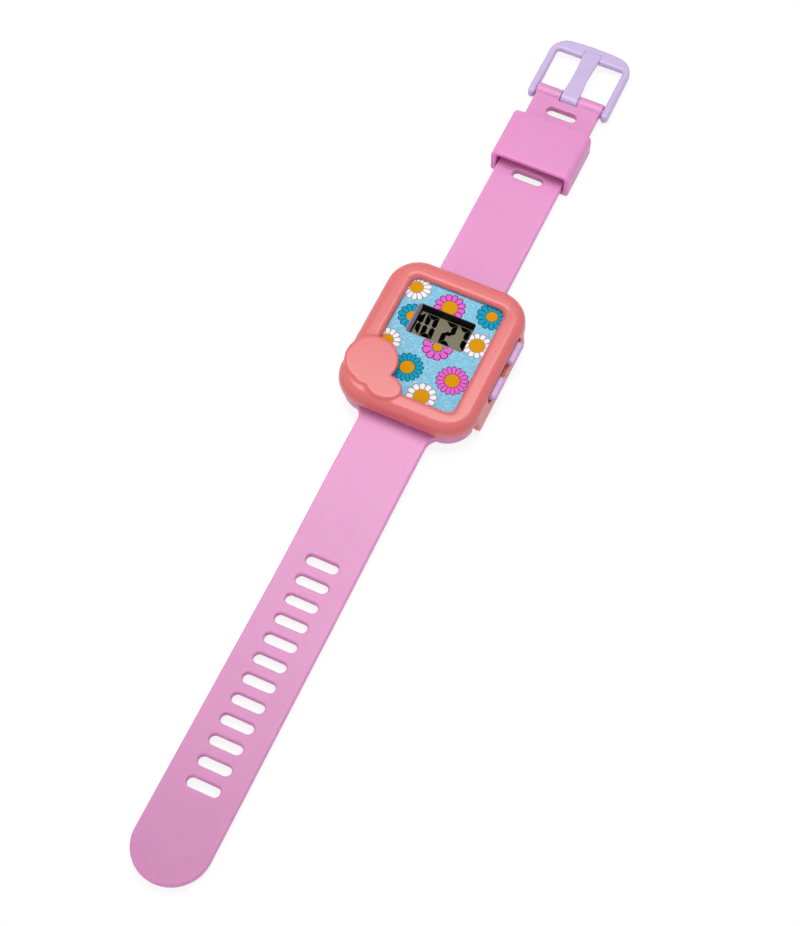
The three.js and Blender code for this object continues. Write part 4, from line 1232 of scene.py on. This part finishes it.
INSIDE = {
    "module_housing": dark_plastic, "face_card": face_print, "display_panel": display_olive,
    "display_reflector": silver_film, "zebra_strip_upper": rubber_grey, "zebra_strip_lower": rubber_grey,
    "circuit_board": board_green, "chip": epoxy_black, "crystal": steel, "battery": steel,
    "battery_clip": steel, "battery_spring": steel, "contact_tab_upper": steel,
    "contact_tab_lower": steel, "contact_pill_upper": rubber_grey, "contact_pill_lower": rubber_grey,
}
for name, material in INSIDE.items():
    dress(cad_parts[name], material)
print(len(INSIDE), "CAD nodes dressed")

# %% [markdown]
# ## Studio
# The watch lies on a plain white table. To the camera and in reflections the table glows a little, so
# that it runs into the white background, yet it keeps the soft shadow under the watch. To the light
# that bounces round it is plain dull white, which keeps the watch at a natural level.

# %% Table
TABLE_SIZE, TABLE_Z = 3, -0.0003
MOTTLE_SCALE = 0.02
GLOW, GLOW_SHARE = 1.1, 0.75

bpy.ops.object.select_all(action="DESELECT")
bpy.ops.mesh.primitive_plane_add(size=TABLE_SIZE, location=(0, 0, TABLE_Z))
table = bpy.context.object
table.name = "table"


def seen_rays(tree):
    """One for the rays that show a surface, in the picture or mirrored in metal and glass."""
    path = add_node(tree, "LightPath").outputs
    seen = calc(tree, "MAXIMUM", path["Is Camera Ray"], path["Is Glossy Ray"])
    return calc(tree, "MAXIMUM", seen, path["Is Transmission Ray"])


def mix_shaders(tree, factor, first, second):
    """A Mix Shader node between two shaders."""
    made = tree.nodes.new("ShaderNodeMixShader")
    for socket, value in zip(made.inputs, (factor, first.outputs[0], second.outputs[0])):
        put(tree, socket, value)
    return made


table_white, tree, shader = new_material("table_white")
mottle = grain(tree, millimetres(tree), MOTTLE_SCALE)
put(tree, shader.inputs["Base Color"], blend(tree, mottle, tone("f7f7f7"), tone("f9f9f9")))
shader.inputs["Roughness"].default_value = 0.9
shader.inputs["Specular IOR Level"].default_value = 0.0
glow = add_node(tree, "Emission", Color=(1, 1, 1, 1), Strength=GLOW)
dull = add_node(tree, "BsdfDiffuse", Color=tone("ececec"))
shown = mix_shaders(tree, GLOW_SHARE, shader, glow)
floor = mix_shaders(tree, seen_rays(tree), dull, shown)
tree.links.new(floor.outputs[0], tree.nodes["Material Output"].inputs[0])
dress(table, table_white)
print("table", TABLE_SIZE, "metres wide")

# %% [markdown]
# The light comes from a soft sky and one large softbox above the watch. The sky is brighter on the near
# side, which fills the walls that face the camera. Camera rays see it plain white, while the light that
# falls on the watch stays at a plain level.

# %% Sky and softbox
NEAR_SKY, FAR_SKY = 0.84, 0.14
SOFTBOX_AT, SOFTBOX_SIZE, SOFTBOX_POWER = Vector((-0.02, 0.055, 0.25)), (0.2, 0.16), 0.47

world = bpy.data.worlds.new("studio")
bpy.context.scene.world = world
world.use_nodes = True
tree = world.node_tree
tree.nodes.clear()
direction = add_node(tree, "TexCoord").outputs["Generated"]
facing = add_node(tree, "SeparateXYZ", Vector=direction).outputs[Y]
strength = calc(tree, "MAXIMUM", limits(tree, facing, -1, 1, NEAR_SKY, FAR_SKY), seen_rays(tree))
sky = add_node(tree, "Background", Color=(1, 1, 1, 1), Strength=strength)
tree.links.new(sky.outputs[0], add_node(tree, "OutputWorld").inputs[0])


def place_in_scene(name, data, place, aim):
    """Link a lamp or a camera into the scene and let it look at a point."""
    made = bpy.data.objects.new(name, data)
    bpy.context.collection.objects.link(made)
    made.location = place
    made.rotation_euler = (aim - place).to_track_quat("-Z", "Y").to_euler()
    return made


lamp = bpy.data.lights.new("softbox", "AREA")
lamp.energy = SOFTBOX_POWER
lamp.shape = "RECTANGLE"
lamp.size, lamp.size_y = SOFTBOX_SIZE
place_in_scene("softbox", lamp, SOFTBOX_AT, Vector())
print("softbox of", lamp.energy, "watts")

# %% [markdown]
# ## Camera
# The camera stands where the photo was taken from: above the near side of the table, a little to the
# button side, with a long lens. Its distance and lens were found by matching the outline in the photo.
# Last, the bounds of the pieces that are shown are computed.

# %% Camera and finish
EYE, AIM = Vector((94.2, -218.8, 395.6)) * MM, Vector((4.1, -25.54, 0)) * MM
LENS, SENSOR = 82.1, 36

lens = bpy.data.cameras.new("camera")
lens.lens = LENS
lens.sensor_width = SENSOR
bpy.context.scene.camera = place_in_scene("camera", lens, EYE, AIM)
print("camera with a lens of", LENS, "millimetres")
table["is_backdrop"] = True
bpy.context.scene.view_settings.view_transform = "Standard"
low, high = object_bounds()
